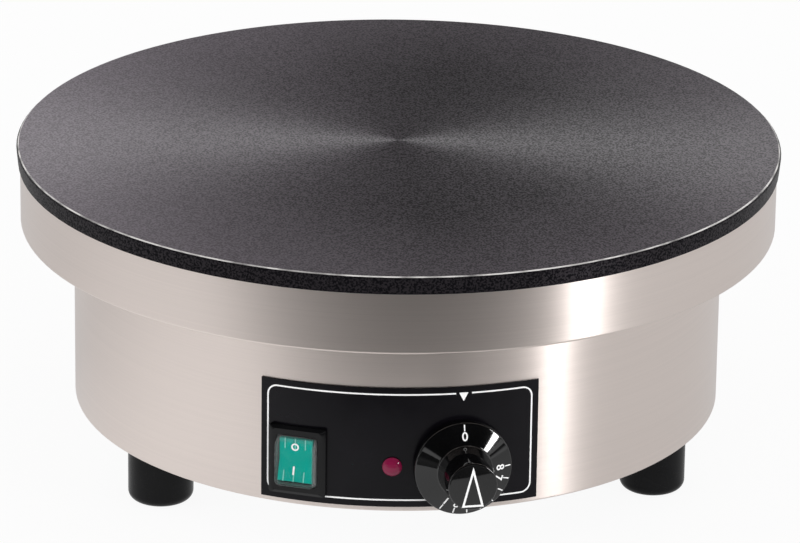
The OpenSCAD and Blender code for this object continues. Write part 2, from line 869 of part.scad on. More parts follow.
module capillary_tube() {
    entry = local_pt(knob_a, -stat_w / 4, stat_in + stat_depth / 2,
        controls_z + stat_h / 2 + 2 * seat);
    color("peru") swept_tube(straight_ended([
        local_bulb(-bulb_len / 2 - seat, 0, bulb_z),
        local_bulb(-bulb_len / 2 - 1.5, 0, bulb_z),
        local_bulb(capillary_x, 0, bulb_z - 5),
        local_bulb(capillary_x, 0, floor_z + 4),
        local_bulb(capillary_x, 0, shelf_z - 6),
        entry + [0, 0, 12],
        entry + [0, 0, 3],
        entry
    ]), capillary_d);
}

// A point in the sensing bulb's frame
function local_bulb(x, y, z) = [
    x * cos(bulb_a) + (bulb_r - y) * sin(bulb_a),
    x * sin(bulb_a) - (bulb_r - y) * cos(bulb_a),
    z
];

module capillary_grommet() {
    lip = 1.2;
    color([0.15, 0.15, 0.15]) at_grommet() difference() {
        union() {
            translate([0, 0, shelf_z - lip]) cylinder(d = grommet_hole_d + 4, h = lip);
            translate([0, 0, floor_z]) cylinder(d = grommet_hole_d + 4, h = lip);
            translate([0, 0, shelf_z - lip])
                cylinder(d = grommet_hole_d - 2 * seat, h = sheet_t + 2 * lip);
        }
        translate([0, 0, shelf_z - lip - 1]) cylinder(d = capillary_d + 2, h = sheet_t + 2 * lip + 2);
    }
}

cutout_screw_x = 12;
cutout_ear_t = 1.2;
cutout_body_d = 16;

module at_cutout() {
    around(cutout_a, cutout_r) children();
}

module at_cutout_screws() {
    at_cutout() for (s = [-1, 1]) translate([s * cutout_screw_x, 0, 0]) children();
}

module safety_cutout() {
    ear_w = 7;
    color("saddlebrown") at_cutout() difference() {
        union() {
            translate([0, 0, shelf_z - cutout_ear_t]) {
                cylinder(d = cutout_body_d + 1, h = cutout_ear_t);
                translate([-cutout_screw_x, -ear_w / 2, 0])
                    cube([2 * cutout_screw_x, ear_w, cutout_ear_t]);
                for (s = [-1, 1]) translate([s * cutout_screw_x, 0, 0])
                    cylinder(d = ear_w, h = cutout_ear_t);
            }
            translate([0, 0, shelf_z - cutout_h])
                cylinder(d = cutout_body_d, h = cutout_h - cutout_ear_t / 2);
            for (s = [-1, 1])
                translate([-blade_w / 2, s * cutout_blade_y - blade_t / 2,
                    shelf_z - cutout_h - cutout_blade])
                    cube([blade_w, blade_t, cutout_blade + 1]);
        }
        for (s = [-1, 1]) translate([s * cutout_screw_x, 0, shelf_z - 3])
            cylinder(d = m3 + 2 * hole_ease, h = 4);
    }
}

module cutout_screws() {
    color("gainsboro") at_cutout_screws() translate([0, 0, shelf_z - cutout_ear_t])
        round_screw(m3, cutout_ear_t + sheet_t + 2, m3_head_d, small_head_h);
}

// ---- Control panel ---------------------------------------------------------

module control_panel() {
    color([0.08, 0.08, 0.09]) difference() {
        translate([0, 0, drum_z + panel_up]) rotate([0, 0, panel_left_a - 90])
            rotate_extrude(angle = panel_right_a - panel_left_a, $fn = 360)
                translate([drum_r + seat, 0]) square([panel_t - seat, panel_h]);
        control_cuts(-sheet_t, 6);
    }
}

// ---- Switch ----------------------------------------------------------------

module on_switch() {
    on_drum(switch_a, controls_z) children();
}

module switch_frame() {
    rebate_ease = 0.2;
    chamfer = 0.6;
    rebate_out = flange_out + seat + cap_flange_t + seat;
    color([0.07, 0.07, 0.07]) on_switch() difference() {
        union() {
            rounded_block(frame_w, frame_h, 1.5, -2, frame_out - chamfer);
            rounded_block(frame_w - 2 * chamfer, frame_h - 2 * chamfer, 1.5 - chamfer, -2, frame_out);
        }
        drum_core(face_r + seat);
        block(flange_w + 2 * rebate_ease, flange_h + 2 * rebate_ease, -4, rebate_out);
        rounded_block(cap_w + 2 * free, cap_h + 2 * free, 2.5 + free, -4, frame_out + 1);
    }
}

module cap_shape(w, h, from, to) {
    taper_w = 0.7;
    taper_h = 2.1;
    hull() {
        rounded_block(w, h, 2.5, from, from + 0.2);
        rounded_block(w - taper_w, h - taper_h, 2.3, to - 0.2, to);
    }
}

module splash_cap() {
    foot_out = flange_out + seat;
    color([0.85, 0.95, 0.95, 0.4]) on_switch() difference() {
        union() {
            block(flange_w, flange_h, foot_out, foot_out + cap_flange_t);
            cap_shape(cap_w, cap_h, foot_out, cap_out);
        }
        cap_shape(cap_w - 2 * cap_wall, cap_h - 2 * cap_wall, foot_out - 0.3, cap_out - cap_wall);
    }
}

module switch_housing() {
    color([0.12, 0.12, 0.12]) on_switch() difference() {
        union() {
            difference() {
                block(flange_w, flange_h, -2, flange_out);
                drum_core(face_r + seat);
            }
            block(housing_w, housing_h, -housing_in, flange_out);
        }
        block(cavity_w, cavity_h, -back_wall_in, flange_out + 1);
        translate([0, pivot_in, 0]) rotate([0, 90, 0])
            cylinder(r = trunnion_r + running, h = trunnion_span + 0.4, center = true);
        for (s = [-1, 1]) translate([s * pole_x, 0, 0]) {
            block(blade_t + 2 * seat, blade_w + 2 * seat, -housing_in - 1, -back_wall_in + 1);
            translate([0, 0, contact_z])
                block(blade_t + 2 * seat, blade_w + 2 * seat, -housing_in - 1, -back_wall_in + 1);
        }
    }
}

// Frame of the rocker about its pivot, at rest with the O side pressed in
module on_rocker() {
    on_switch() translate([0, pivot_in, 0]) rotate([-rocker_tilt, 0, 0]) children();
}

module rocker_profile() {
    apex = rocker_face / cos(rocker_tilt);
    reach = 1.5 * rocker_r;
    polygon([
        [-3, -8],
        [-3, 8],
        [-1, reach],
        [apex + reach * sin(rocker_tilt), reach * cos(rocker_tilt)],
        [apex, 0],
        [apex + reach * sin(rocker_tilt), -reach * cos(rocker_tilt)],
        [-1, -reach]
    ]);
}

module switch_rocker() {
    color([0, 0.62, 0.55]) on_rocker() difference() {
        union() {
            intersection() {
                rotate([0, 90, 0]) cylinder(r = rocker_r, h = rocker_w, center = true);
                translate([-rocker_w / 2, 0, 0]) rotate([90, 0, 90])
                    linear_extrude(rocker_w) mirror([1, 0]) rocker_profile();
            }
            for (s = [-1, 1]) translate([s * pole_x, 0, 0]) peg(sleeve_r, -6, -1);
            rotate([0, 90, 0]) cylinder(r = trunnion_r, h = trunnion_span, center = true);
        }
        for (s = [-1, 1]) translate([s * pole_x, 0, 0]) peg(plunger_r + running, -7, bore_out);
    }
}

module switch_plungers() {
    color("ivory") on_rocker() for (s = [-1, 1]) translate([s * pole_x, 0, 0]) {
        peg(plunger_r, -plunger_reach + plunger_r, plunger_back);
        translate([0, plunger_reach - plunger_r, 0]) sphere(r = plunger_r, $fn = 32);
    }
}

// Coil springs in the rocker's bores, behind the plungers
module plunger_springs() {
    coil_r = plunger_r - spring_wire / 2 - seat;
    start = plunger_back + spring_wire / 2 + seat;
    rise = bore_out - spring_wire / 2 - seat - start;
    steps = 8 * spring_turns;
    helix = [for (i = [0 : steps])
        [coil_r * cos(360 * i / 8), coil_r * sin(360 * i / 8), start + rise * i / steps]];
    color("silver") on_rocker() for (s = [-1, 1]) translate([s * pole_x, 0, 0])
        rotate([90, 0, 0]) swept_tube(helix, spring_wire, 6);
}

// Frame of the contact levers about their pins, at rest
module on_levers() {
    on_switch() translate([0, lever_pivot_in, 0]) rotate([lever_tilt, 0, 0])
        for (s = [-1, 1]) translate([s * pole_x, 0, 0]) children();
}

module contact_levers() {
    color("darkgoldenrod") on_levers() difference() {
        union() {
            block(lever_w, 2 * lever_arm, -lever_t / 2, lever_t / 2);
            block(lever_w, 3.4, -lever_block, lever_block);
        }
        rotate([0, 90, 0]) cylinder(r = lever_pin_r + running, h = lever_w + 2, center = true);
    }
}

cheek_t = 0.6;
cheek_x = lever_w / 2 + free + cheek_t / 2;

module lever_pins() {
    color("silver") on_switch() for (s = [-1, 1]) translate([s * pole_x, lever_pivot_in, 0])
        rotate([0, 90, 0]) cylinder(r = lever_pin_r, h = 2 * cheek_x + cheek_t, center = true);
}

module switch_terminals() {
    tongue = 3;
    foot_t = 0.6;
    color("goldenrod") on_switch() for (s = [-1, 1]) translate([s * pole_x, 0, 0]) {
        difference() {
            union() {
                block(blade_t, blade_w, -blade_in, -back_wall_in + foot_t / 2);
                block(2 * cheek_x + cheek_t, tongue, -back_wall_in, -back_wall_in + foot_t);
                for (c = [-1, 1]) translate([c * cheek_x, 0, 0])
                    block(cheek_t, tongue, -back_wall_in, -lever_pivot_in + 1.3);
            }
            translate([0, lever_pivot_in, 0]) rotate([0, 90, 0])
                cylinder(r = lever_pin_r + 0.02, h = 4 * cheek_x, center = true);
        }
        translate([0, 0, contact_z]) {
            block(blade_t, blade_w, -blade_in, -back_wall_in + foot_t / 2);
            translate([0, 0, lever_arm - 1.2 - contact_z]) peg(1.1, -back_wall_in, -contact_in);
            translate([0, 0, (lever_arm - 1.2 - contact_z) / 2])
                block(2.4, contact_z - lever_arm + 3.4, -back_wall_in, -back_wall_in + foot_t);
        }
    }
}

// ---- Pilot light -----------------------------------------------------------

module on_pilot() {
    on_drum(pilot_a, controls_z) children();
}

module pilot_lens() {
    lens_r = lens_d / 2;
    rim_out = panel_t + 1;
    dome_h = lens_out - rim_out;
    dome_r = (lens_r * lens_r + dome_h * dome_h) / (2 * dome_h);
    color([0.55, 0.05, 0.08]) on_pilot() {
        turned() intersection() {
            translate([0, panel_t + seat]) square([lens_r, lens_out]);
            union() {
                translate([0, panel_t + seat]) square([lens_r, 1 - seat]);
                intersection() {
                    translate([0, lens_out - dome_r]) circle(r = dome_r);
                    translate([0, rim_out]) square([lens_r, dome_h]);
                }
            }
        }
        peg(pilot_bore_r - seat, -3, panel_t + 0.5);
    }
}

module pilot_body() {
    color([0.12, 0.12, 0.12]) on_pilot() {
        difference() {
            peg(pilot_body_r, -pilot_in, panel_t);
            peg(pilot_bore_r, -pilot_in + 2, panel_t + 1);
        }
        for (s = [-1, 1]) translate([s * 2, 0, 0]) block(0.6, 3, -pilot_in - 6, -pilot_in + 1);
    }
}

module pilot_lamp() {
    lamp_r = 2.4;
    color([0.95, 0.6, 0.4, 0.5]) on_pilot() {
        peg(lamp_r, -pilot_in + 2 + seat, -5 - lamp_r);
        translate([0, 5 + lamp_r, 0]) sphere(r = lamp_r, $fn = 48);
    }
}

module pilot_nut() {
    nut_in = sheet_t + sagitta(6.5, drum_inner_r) + seat;
    color("silver") on_pilot() difference() {
        peg(6.5, -nut_in - 1.2, -nut_in);
        peg(pilot_body_r + seat, -nut_in - 3, 0);
    }
}

// ---- Thermostat and knob ---------------------------------------------------

module on_knob() {
    on_drum(knob_a, controls_z) children();
}

module thermostat_strap() {
    color("silver") on_knob() difference() {
        block(strap_w, strap_h, -stat_in, -strap_in);
        peg(shaft_bush_r + seat, -stat_in - 1, 0);
        for (s = [-1, 1]) translate([0, 0, s * stat_screw_z]) peg(m4 / 2 + seat, -stat_in - 1, 0);
    }
}

module thermostat_body() {
    color("tan") on_knob() difference() {
        union() {
            block(stat_w, stat_h, -stat_back, -stat_in - seat);
            peg(shaft_bush_r, -stat_in - 1, -strap_in);
            for (s = [-1, 1]) translate([s * stat_blade_x, 0, 0])
                block(blade_t, blade_w, -stat_back - stat_blade_len, -stat_back + 1);
        }
        peg(shaft_d / 2 + running, -shaft_in - free, 0);
        for (s = [-1, 1]) translate([0, 0, s * stat_screw_z])
            peg(m4 / 2 + hole_ease, -stat_in - 9, -stat_in + 1);
    }
}

module thermostat_screws() {
    color("gainsboro") on_knob() for (s = [-1, 1]) translate([0, 0, s * stat_screw_z]) {
        peg(m4 / 2, -stat_in - 3, panel_t + seat + 0.5);
        peg(3.5, panel_t + seat, panel_t + 2);
    }
}

module thermostat_shaft() {
    color("gainsboro") on_knob() difference() {
        peg(shaft_d / 2, -shaft_in, shaft_out);
        translate([0, 0, shaft_d - shaft_flat]) block(shaft_d + 1, shaft_d, panel_t + 4, shaft_out + 1);
    }
}

// Half section of the knob, as radius and distance out from the drum
module knob_outer() {
    edge = 0.8;
    polygon([
        [0, knob_back_out],
        [knob_d / 2, knob_back_out],
        [knob_d / 2, knob_rim_out - edge],
        [knob_d / 2 - edge, knob_rim_out],
        [grip_foot_d / 2 + edge, grip_foot_out],
        [grip_foot_d / 2, grip_foot_out + edge],
        [grip_end_d / 2, knob_out - edge],
        [grip_end_d / 2 - edge, knob_out],
        [0, knob_out]
    ]);
}

module knob_hollow() {
    wall = knob_wall;
    polygon([
        [0, knob_back_out - 1],
        [knob_d / 2 - wall, knob_back_out - 1],
        [knob_d / 2 - wall, knob_rim_out - wall],
        [grip_foot_d / 2 - wall, grip_foot_out - wall / 2],
        [grip_end_d / 2 - wall, knob_out - wall],
        [0, knob_out - wall]
    ]);
}

module knob() {
    socket_out = shaft_out + free;
    flat_z = shaft_d / 2 - shaft_flat;
    color([0.05, 0.05, 0.05]) on_knob() difference() {
        union() {
            turned() difference() {
                knob_outer();
                knob_hollow();
            }
            peg(hub_r, hub_back_out, knob_out - knob_wall + 0.5);
        }
        difference() {
            peg(shaft_d / 2 + seat, hub_back_out - 1, socket_out);
            translate([0, 0, flat_z + seat + clip_leaf + seat + shaft_d / 2])
                block(2 * shaft_d, shaft_d, hub_back_out + 1, socket_out + 1);
        }
    }
}

module knob_clip() {
    flat_z = shaft_d / 2 - shaft_flat;
    color("silver") on_knob() translate([0, 0, flat_z + seat + clip_leaf / 2])
        block(3, clip_leaf, panel_t + 6, shaft_out - 2);
}

// ---- Mains inlet, earth and wiring -----------------------------------------

module on_gland() {
    on_drum(180, gland_z) children();
}

module cable_gland() {
    color([0.1, 0.1, 0.1]) on_gland() difference() {
        union() {
            peg(gland_d / 2, -gland_thread_in, gland_thread_out);
            difference() {
                rotate([90, 0, 0]) hex_prism(gland_hex_af, gland_flange_out);
                drum_core(drum_r + seat);
            }
        }
        peg(gland_bore_d / 2, -gland_thread_in - 1, gland_thread_out + 1);
    }
}

module gland_cap() {
    start = gland_flange_out + seat;
    thread_out = gland_thread_out + seal_gap;
    color([0.1, 0.1, 0.1]) on_gland() difference() {
        union() {
            rotate([90, 0, 0]) translate([0, 0, start]) hex_prism(gland_hex_af, gland_cap_out - 5 - start);
            turned() polygon([
                [0, start],
                [gland_hex_af / 2, start],
                [gland_hex_af / 2, gland_cap_out - 4],
                [gland_bore_d / 2 + 3, gland_cap_out],
                [0, gland_cap_out]
            ]);
        }
        peg(gland_d / 2 + seat, start - 1, thread_out + gland_seal_len);
        peg(gland_bore_d / 2 + 0.5, start, gland_cap_out + 1);
    }
}

seal_gap = 0.1;

module gland_seal() {
    color([0.2, 0.2, 0.2]) on_gland() difference() {
        peg(gland_d / 2 - 0.2, gland_thread_out + seal_gap, gland_thread_out + gland_seal_len);
        peg(gland_bore_d / 2, gland_thread_out - 1, gland_thread_out + gland_seal_len + 1);
    }
}

module gland_locknut() {
    nut_in = sheet_t + sagitta(gland_hex_af / 2 / cos(30), drum_inner_r) + seat;
    color([0.1, 0.1, 0.1]) on_gland() rotate([90, 0, 0]) translate([0, 0, -nut_in - locknut_h])
        nut(gland_d, gland_hex_af, locknut_h);
}

module at_block_screws() {
    around(block_a, block_r) for (s = [-1, 1]) translate([s * way_pitch / 2, 0, 0]) children();
}

module terminal_block() {
    way_z = block_high / 2;
    color("ivory") around(block_a, block_r, flange_z) difference() {
        translate([-block_w / 2, -block_deep / 2, 0]) cube([block_w, block_deep, block_high]);
        for (s = [-1, 0, 1]) translate([s * way_pitch, 0, way_z]) {
            peg(2.2, -block_deep, block_deep);
            cylinder(d = m4 + 2 * seat, h = block_high);
        }
        for (s = [-1, 1]) translate([s * way_pitch / 2, 0, -1])
            cylinder(d = m3 + 2 * hole_ease, h = block_high + 2);
    }
}

module terminal_screws() {
    color("goldenrod") around(block_a, block_r, flange_z + block_high / 2)
        for (s = [-1, 0, 1]) translate([s * way_pitch, 0, 0])
            translate([0, 0, 2.4]) cylinder(d = m4, h = block_high / 2 - 3);
}

module block_screws() {
    color("gainsboro") at_block_screws() translate([0, 0, drum_z])
        round_screw(m3, sheet_t + block_high - 2, m3_head_d, small_head_h);
}

module at_earth() {
    around(earth_a, cover_screw_r) children();
}

module earth_stud() {
    color("goldenrod") at_earth() {
        translate([0, 0, drum_z - 3.4]) hex_prism(8, 3.4 - seat);
        translate([0, 0, drum_z - 2]) cylinder(d = m5, h = 20);
        translate([0, 0, flange_z]) hex_prism(8, 4);
    }
}

// Ring lug between the earth stud's two nuts, with its barrel turned inwards
module earth_lug() {
    lug_t = 1;
    lug_z = flange_z + 4 + seat;
    color("silver") at_earth() difference() {
        union() {
            translate([0, 0, lug_z]) cylinder(d = 10, h = lug_t);
            translate([-2.5, 0, lug_z]) cube([5, 7, lug_t]);
        }
        translate([0, 0, lug_z - 1]) cylinder(d = m5 + 2 * seat, h = lug_t + 2);
    }
}

module earth_nut() {
    color("goldenrod") at_earth() translate([0, 0, flange_z + 5 + 2 * seat]) nut(m5, 8, 4);
}

// Lanes of the wires inside the drum: a distance from the plate's axis and a
// height, followed from angle to angle
live_lane_r = 130;
neutral_lane_r = 118;
upper_lane_r = 108;
live_lane_z = drum_z + 15;
neutral_lane_z = drum_z + 10;
lower_loop_z = drum_z + 47;
upper_loop_z = drum_z + 62;
function lane(angles, r, z) = [for (a = angles) drum_pt(a, r, z)];

way_end_r = block_r - block_deep / 2 - seat;
stub = 3;
switch_end = blade_in + seat;
stat_end = stat_back + stat_blade_len + seat;
cutout_end_z = shelf_z - cutout_h - cutout_blade - seat;
pin_wire_z = pin_end_z - seat;

// A place in front of a way of the terminal block
function block_way(s, lead = 0) = [
    (way_end_r - lead) * sin(block_a) + s * way_pitch * cos(block_a),
    -(way_end_r - lead) * cos(block_a) + s * way_pitch * sin(block_a),
    flange_z + block_high / 2
];
function cutout_pt(side, z) = drum_pt(cutout_a, cutout_r + side * cutout_blade_y, z);

module wire(path) {
    swept_tube(straight_ended(path), wire_d);
}

module live_wires() {
    color("saddlebrown") {
        // Terminal block to switch
        wire(concat(
            [block_way(-1), block_way(-1, stub)],
            lane([134, 100, 66, 32, -2], live_lane_r, live_lane_z),
            [local_pt(switch_a, pole_x, switch_end + stub, controls_z),
                local_pt(switch_a, pole_x, switch_end, controls_z)]
        ));
        // Switch to thermostat
        wire([
            local_pt(switch_a, pole_x, switch_end, controls_z + contact_z),
            local_pt(switch_a, pole_x, switch_end + stub, controls_z + contact_z),
            drum_pt(-6, live_lane_r, controls_z + 12),
            local_pt(knob_a, -stat_blade_x, stat_end + stub, controls_z),
            local_pt(knob_a, -stat_blade_x, stat_end, controls_z)
        ]);
        // Thermostat to safety cut-out
        wire([
            local_pt(knob_a, stat_blade_x, stat_end, controls_z),
            local_pt(knob_a, stat_blade_x, stat_end + stub, controls_z),
            drum_pt(8, upper_lane_r, lower_loop_z),
            drum_pt(-14, cutout_r - 12, upper_loop_z),
            cutout_pt(-1, cutout_end_z - stub),
            cutout_pt(-1, cutout_end_z)
        ]);
        // Safety cut-out to the element's inner end
        wire([
            cutout_pt(1, cutout_end_z),
            cutout_pt(1, cutout_end_z - stub),
            drum_pt(-52, neutral_lane_r + 4, upper_loop_z - 2),
            [inner_end_x, end_y, pin_wire_z - stub],
            [inner_end_x, end_y, pin_wire_z]
        ]);
    }
}

module neutral_wires() {
    color("steelblue") {
        // Terminal block to switch
        wire(concat(
            [block_way(0), block_way(0, stub)],
            lane([136, 100, 64, 28, -8], neutral_lane_r, neutral_lane_z),
            [local_pt(switch_a, -pole_x, switch_end + stub, controls_z),
                local_pt(switch_a, -pole_x, switch_end, controls_z)]
        ));
        // Switch to the element's outer end
        wire([
            local_pt(switch_a, -pole_x, switch_end, controls_z + contact_z),
            local_pt(switch_a, -pole_x, switch_end + stub, controls_z + contact_z),
            drum_pt(-42, live_lane_r + 4, lower_loop_z),
            drum_pt(-70, live_lane_r + 14, upper_loop_z - 4),
            [outer_end_x, end_y, pin_wire_z - stub],
            [outer_end_x, end_y, pin_wire_z]
        ]);
    }
}

module earth_wire() {
    color("yellowgreen") wire([
        block_way(1),
        block_way(1, stub),
        drum_pt((block_a + earth_a) / 2, way_end_r - 11, flange_z + block_high * 3 / 4),
        drum_pt(earth_a, earth_lug_r - 4, flange_z + 9),
        drum_pt(earth_a, earth_lug_r - 1, flange_z + 7),
        drum_pt(earth_a, earth_lug_r, flange_z + 6.5)
    ]);
}

griddle_plate();
upper_pan();
casing_drum();
base_cover();
cover_screws();
foot_front_left();
foot_front_right();
foot_rear();
foot_bolts();
tie_studs();
spacer_tubes();
stud_washers();
stud_nuts();
insulation_blanket();
reflector_plate();
heating_element();
element_bushes();
element_clamps();
clamp_screws();
sensing_bulb();
bulb_clips();
clip_screws();
capillary_tube();
capillary_grommet();
safety_cutout();
cutout_screws();
thermostat_body();
thermostat_strap();
thermostat_screws();
thermostat_shaft();
knob();
knob_clip();
control_panel();
switch_frame();
splash_cap();
switch_housing();
switch_rocker();
switch_plungers();
plunger_springs();
contact_levers();
lever_pins();
switch_terminals();
pilot_lens();
pilot_body();
pilot_lamp();
pilot_nut();
terminal_block();
terminal_screws();
block_screws();
cable_gland();
gland_cap();
gland_seal();
gland_locknut();
earth_stud();
earth_lug();
earth_nut();
live_wires();
neutral_wires();
earth_wire();
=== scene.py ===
# %% [markdown]
# # An electric crepe maker, dressed cell by cell
#
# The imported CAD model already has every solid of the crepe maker: the iron
# plate, the stainless ring and drum, the feet, the controls and what is inside.
# This lesson keeps those solids where they are, gives each one its finish, and
# models again the few pieces whose fine shape shows in a close look. All sizes
# are in metres, with z = 0 on the table and the controls facing minus y.

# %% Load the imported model
import math

import bpy
from mathutils import Matrix, Vector


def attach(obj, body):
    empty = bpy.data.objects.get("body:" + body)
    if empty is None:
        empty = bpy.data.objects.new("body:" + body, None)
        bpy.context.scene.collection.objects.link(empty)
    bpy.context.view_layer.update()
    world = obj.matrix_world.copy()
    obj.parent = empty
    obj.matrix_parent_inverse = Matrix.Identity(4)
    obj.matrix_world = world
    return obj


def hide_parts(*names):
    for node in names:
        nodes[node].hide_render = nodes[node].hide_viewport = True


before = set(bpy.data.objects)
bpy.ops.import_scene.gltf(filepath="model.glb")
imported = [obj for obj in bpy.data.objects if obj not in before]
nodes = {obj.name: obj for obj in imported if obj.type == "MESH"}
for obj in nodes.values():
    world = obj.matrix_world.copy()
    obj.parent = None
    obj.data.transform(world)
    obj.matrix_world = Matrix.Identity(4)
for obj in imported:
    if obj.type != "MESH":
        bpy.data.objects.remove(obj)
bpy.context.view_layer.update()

MM = 0.001

# %% [markdown]
# ## The camera
#
# A long lens looks down on the plate by 21 degrees from about three metres. The
# place of the camera was worked out from ellipses in the photograph: the plate's
# rim, the ring and the drum fix the distance, the tilt and a small roll. A lens
# in pixels becomes one in millimetres once the sensor is as wide as the picture.

# %% Set up the camera
PICTURE_WIDTH_PX = 800
FOCAL_PX = 5768.5
CAMERA_PLACE = Vector((0, -2.8451, 1.1871))
LOOK_DOWN = math.radians(21.01)
ROLL = math.radians(0.78)
YAW = math.radians(0.03)

look = Vector((math.sin(YAW) * math.cos(LOOK_DOWN),
               math.cos(YAW) * math.cos(LOOK_DOWN), -math.sin(LOOK_DOWN)))
level = Vector((math.cos(YAW), -math.sin(YAW), 0))
upright = level.cross(look)
picture_right = math.cos(ROLL) * level + math.sin(ROLL) * upright
picture_up = math.cos(ROLL) * upright - math.sin(ROLL) * level

bpy.ops.object.camera_add()
camera = bpy.context.object
camera.name = "camera"
camera.matrix_world = Matrix.Translation(CAMERA_PLACE) @ Matrix(
    (picture_right, picture_up, -look)
).transposed().to_4x4()
camera.data.lens = FOCAL_PX / PICTURE_WIDTH_PX * camera.data.sensor_width
bpy.context.scene.camera = camera
bpy.context.scene.view_settings.view_transform = "Standard"
print(f"lens {camera.data.lens:.1f} mm")

# %% [markdown]
# ## Helpers for node trees
#
# Every finish is a small node tree. `add` makes a node and fills in its sockets
# by name, so that a finish reads as a list of what it is made of, and `join`
# draws a wire. The rest are steps that many finishes share: a noise stretched
# along its grain, a range turned into another, two colours blended, a bump, and
# the two measures that turned metal needs: how far a place is from the axis, and
# which way along the surface crosses the marks.


# %% Define the node helpers
def add(tree, kind, **values):
    """A new node; a value named like a socket fills it, others are settings."""
    node = tree.nodes.new("ShaderNode" + kind)
    for name, value in values.items():
        socket = name.replace("_", " ").title()
        if socket in node.inputs:
            node.inputs[socket].default_value = value
        else:
            setattr(node, name, value)
    return node


def join(tree, source, node, socket):
    """A wire from an output to the named input of a node."""
    tree.links.new(source, node.inputs[socket])


def grain(tree, place, scale, detail, stretch=(1, 1, 1)):
    """Noise between 0 and 1 at so many features a metre, stretched by axis."""
    mapping = add(tree, "Mapping", scale=stretch)
    join(tree, place, mapping, "Vector")
    noise = add(tree, "TexNoise", scale=scale, detail=detail)
    join(tree, mapping.outputs[0], noise, "Vector")
    return noise.outputs[0]


def ranged(tree, value, from_low, from_high, to_low, to_high):
    """A value moved from one range to another, and held inside it."""
    node = add(tree, "MapRange", from_min=from_low, from_max=from_high,
               to_min=to_low, to_max=to_high)
    join(tree, value, node, "Value")
    return node.outputs[0]


def spread(tree, noise, low=0, high=1):
    """Noise, which mostly lies between 0.3 and 0.7, spread over a range."""
    return ranged(tree, noise, 0.3, 0.7, low, high)


def sums(tree, operation, first, second=None):
    """Math on two sockets, or on a socket and a number."""
    node = add(tree, "Math", operation=operation)
    for index, value in enumerate((first, second)):
        if isinstance(value, (int, float)):
            node.inputs[index].default_value = value
        elif value is not None:
            tree.links.new(value, node.inputs[index])
    return node.outputs[0]


def two_tone(tree, factor, low, high):
    """A colour between two, by a factor."""
    ramp = add(tree, "ValToRGB")
    ramp.color_ramp.elements[0].color = (*low, 1)
    ramp.color_ramp.elements[1].color = (*high, 1)
    join(tree, factor, ramp, "Fac")
    return ramp.outputs["Color"]


def bump(tree, height, depth):
    """A bump of that depth in metres, for a height between 0 and 1."""
    node = add(tree, "Bump", distance=depth, strength=1.0)
    join(tree, height, node, "Height")
    return node.outputs[0]


def new_finish(name, **values):
    """A finish with one shader, its constants set, and the place on the piece."""
    finish = bpy.data.materials.new(name)
    finish.use_nodes = True
    tree = finish.node_tree
    shader = tree.nodes["Principled BSDF"]
    for socket, value in values.items():
        shader.inputs[socket.replace("_", " ")].default_value = value
    place = add(tree, "TexCoord").outputs["Object"]
    return finish, tree, shader, place


def radius_of(tree, place):
    """Distance from the z axis."""
    flat = add(tree, "VectorMath", operation="MULTIPLY")
    join(tree, place, flat, 0)
    flat.inputs[1].default_value = (1, 1, 0)
    length = add(tree, "VectorMath", operation="LENGTH")
    join(tree, flat.outputs[0], length, 0)
    return length.outputs["Value"]


def across_turning_marks(tree, place):
    """The direction along the surface that crosses marks left by turning about z."""
    round_it = add(tree, "VectorMath", operation="CROSS_PRODUCT")
    round_it.inputs[0].default_value = (0, 0, 1)
    join(tree, place, round_it, 1)
    unit = add(tree, "VectorMath", operation="NORMALIZE")
    join(tree, round_it.outputs[0], unit, 0)
    across = add(tree, "VectorMath", operation="CROSS_PRODUCT")
    join(tree, add(tree, "NewGeometry").outputs["Normal"], across, 0)
    join(tree, unit.outputs[0], across, 1)
    return across.outputs[0]


# %% [markdown]
# ## The studio
#
# Brushed steel is mostly a picture of the room, so the room comes first. The
# floor is a wide pale disc. What a lens, a mirror or a glass sees of it is mostly
# its own white, so that it stays white in the picture while the shadow of the
# object still falls on it. In reflections that white is dimmer, except round one
# spot at the front left. A dark cloth lies in front of the object, and only
# reflections see it: it gives the steel its grey front, and its glow near the
# object and towards the sides lets that grey fade out.
#
# The sky is white low down, where every camera looks, and dark overhead and
# behind the photographer, as in a real studio. Diffuse light comes from a plain
# even sky. A narrow soft box on the right draws the bright strip on the steel,
# and a broad one on the left lights only what is dull.

# %% Lay the floor
FLOOR_R = 7
OWN_WHITE_SHARE = 0.92
BRIGHT_SPOT, SPOT_R, SPOT_END_R = (-0.27, -0.27, 0), 0.08, 0.38
DIMMED_BY = 0.38
bpy.ops.mesh.primitive_circle_add(vertices=96, radius=FLOOR_R, fill_type="NGON")
floor = bpy.context.object
floor.name = "studio_floor"
bpy.ops.object.mode_set(mode="EDIT")
bpy.ops.mesh.inset(thickness=0.05)
bpy.ops.object.mode_set(mode="OBJECT")


def seen_directly(tree):
    """1 for rays from a lens, a mirror or through glass."""
    rays = add(tree, "LightPath").outputs
    shiny = sums(tree, "MAXIMUM", rays["Is Glossy Ray"], rays["Is Transmission Ray"])
    return sums(tree, "MAXIMUM", rays["Is Camera Ray"], shiny)


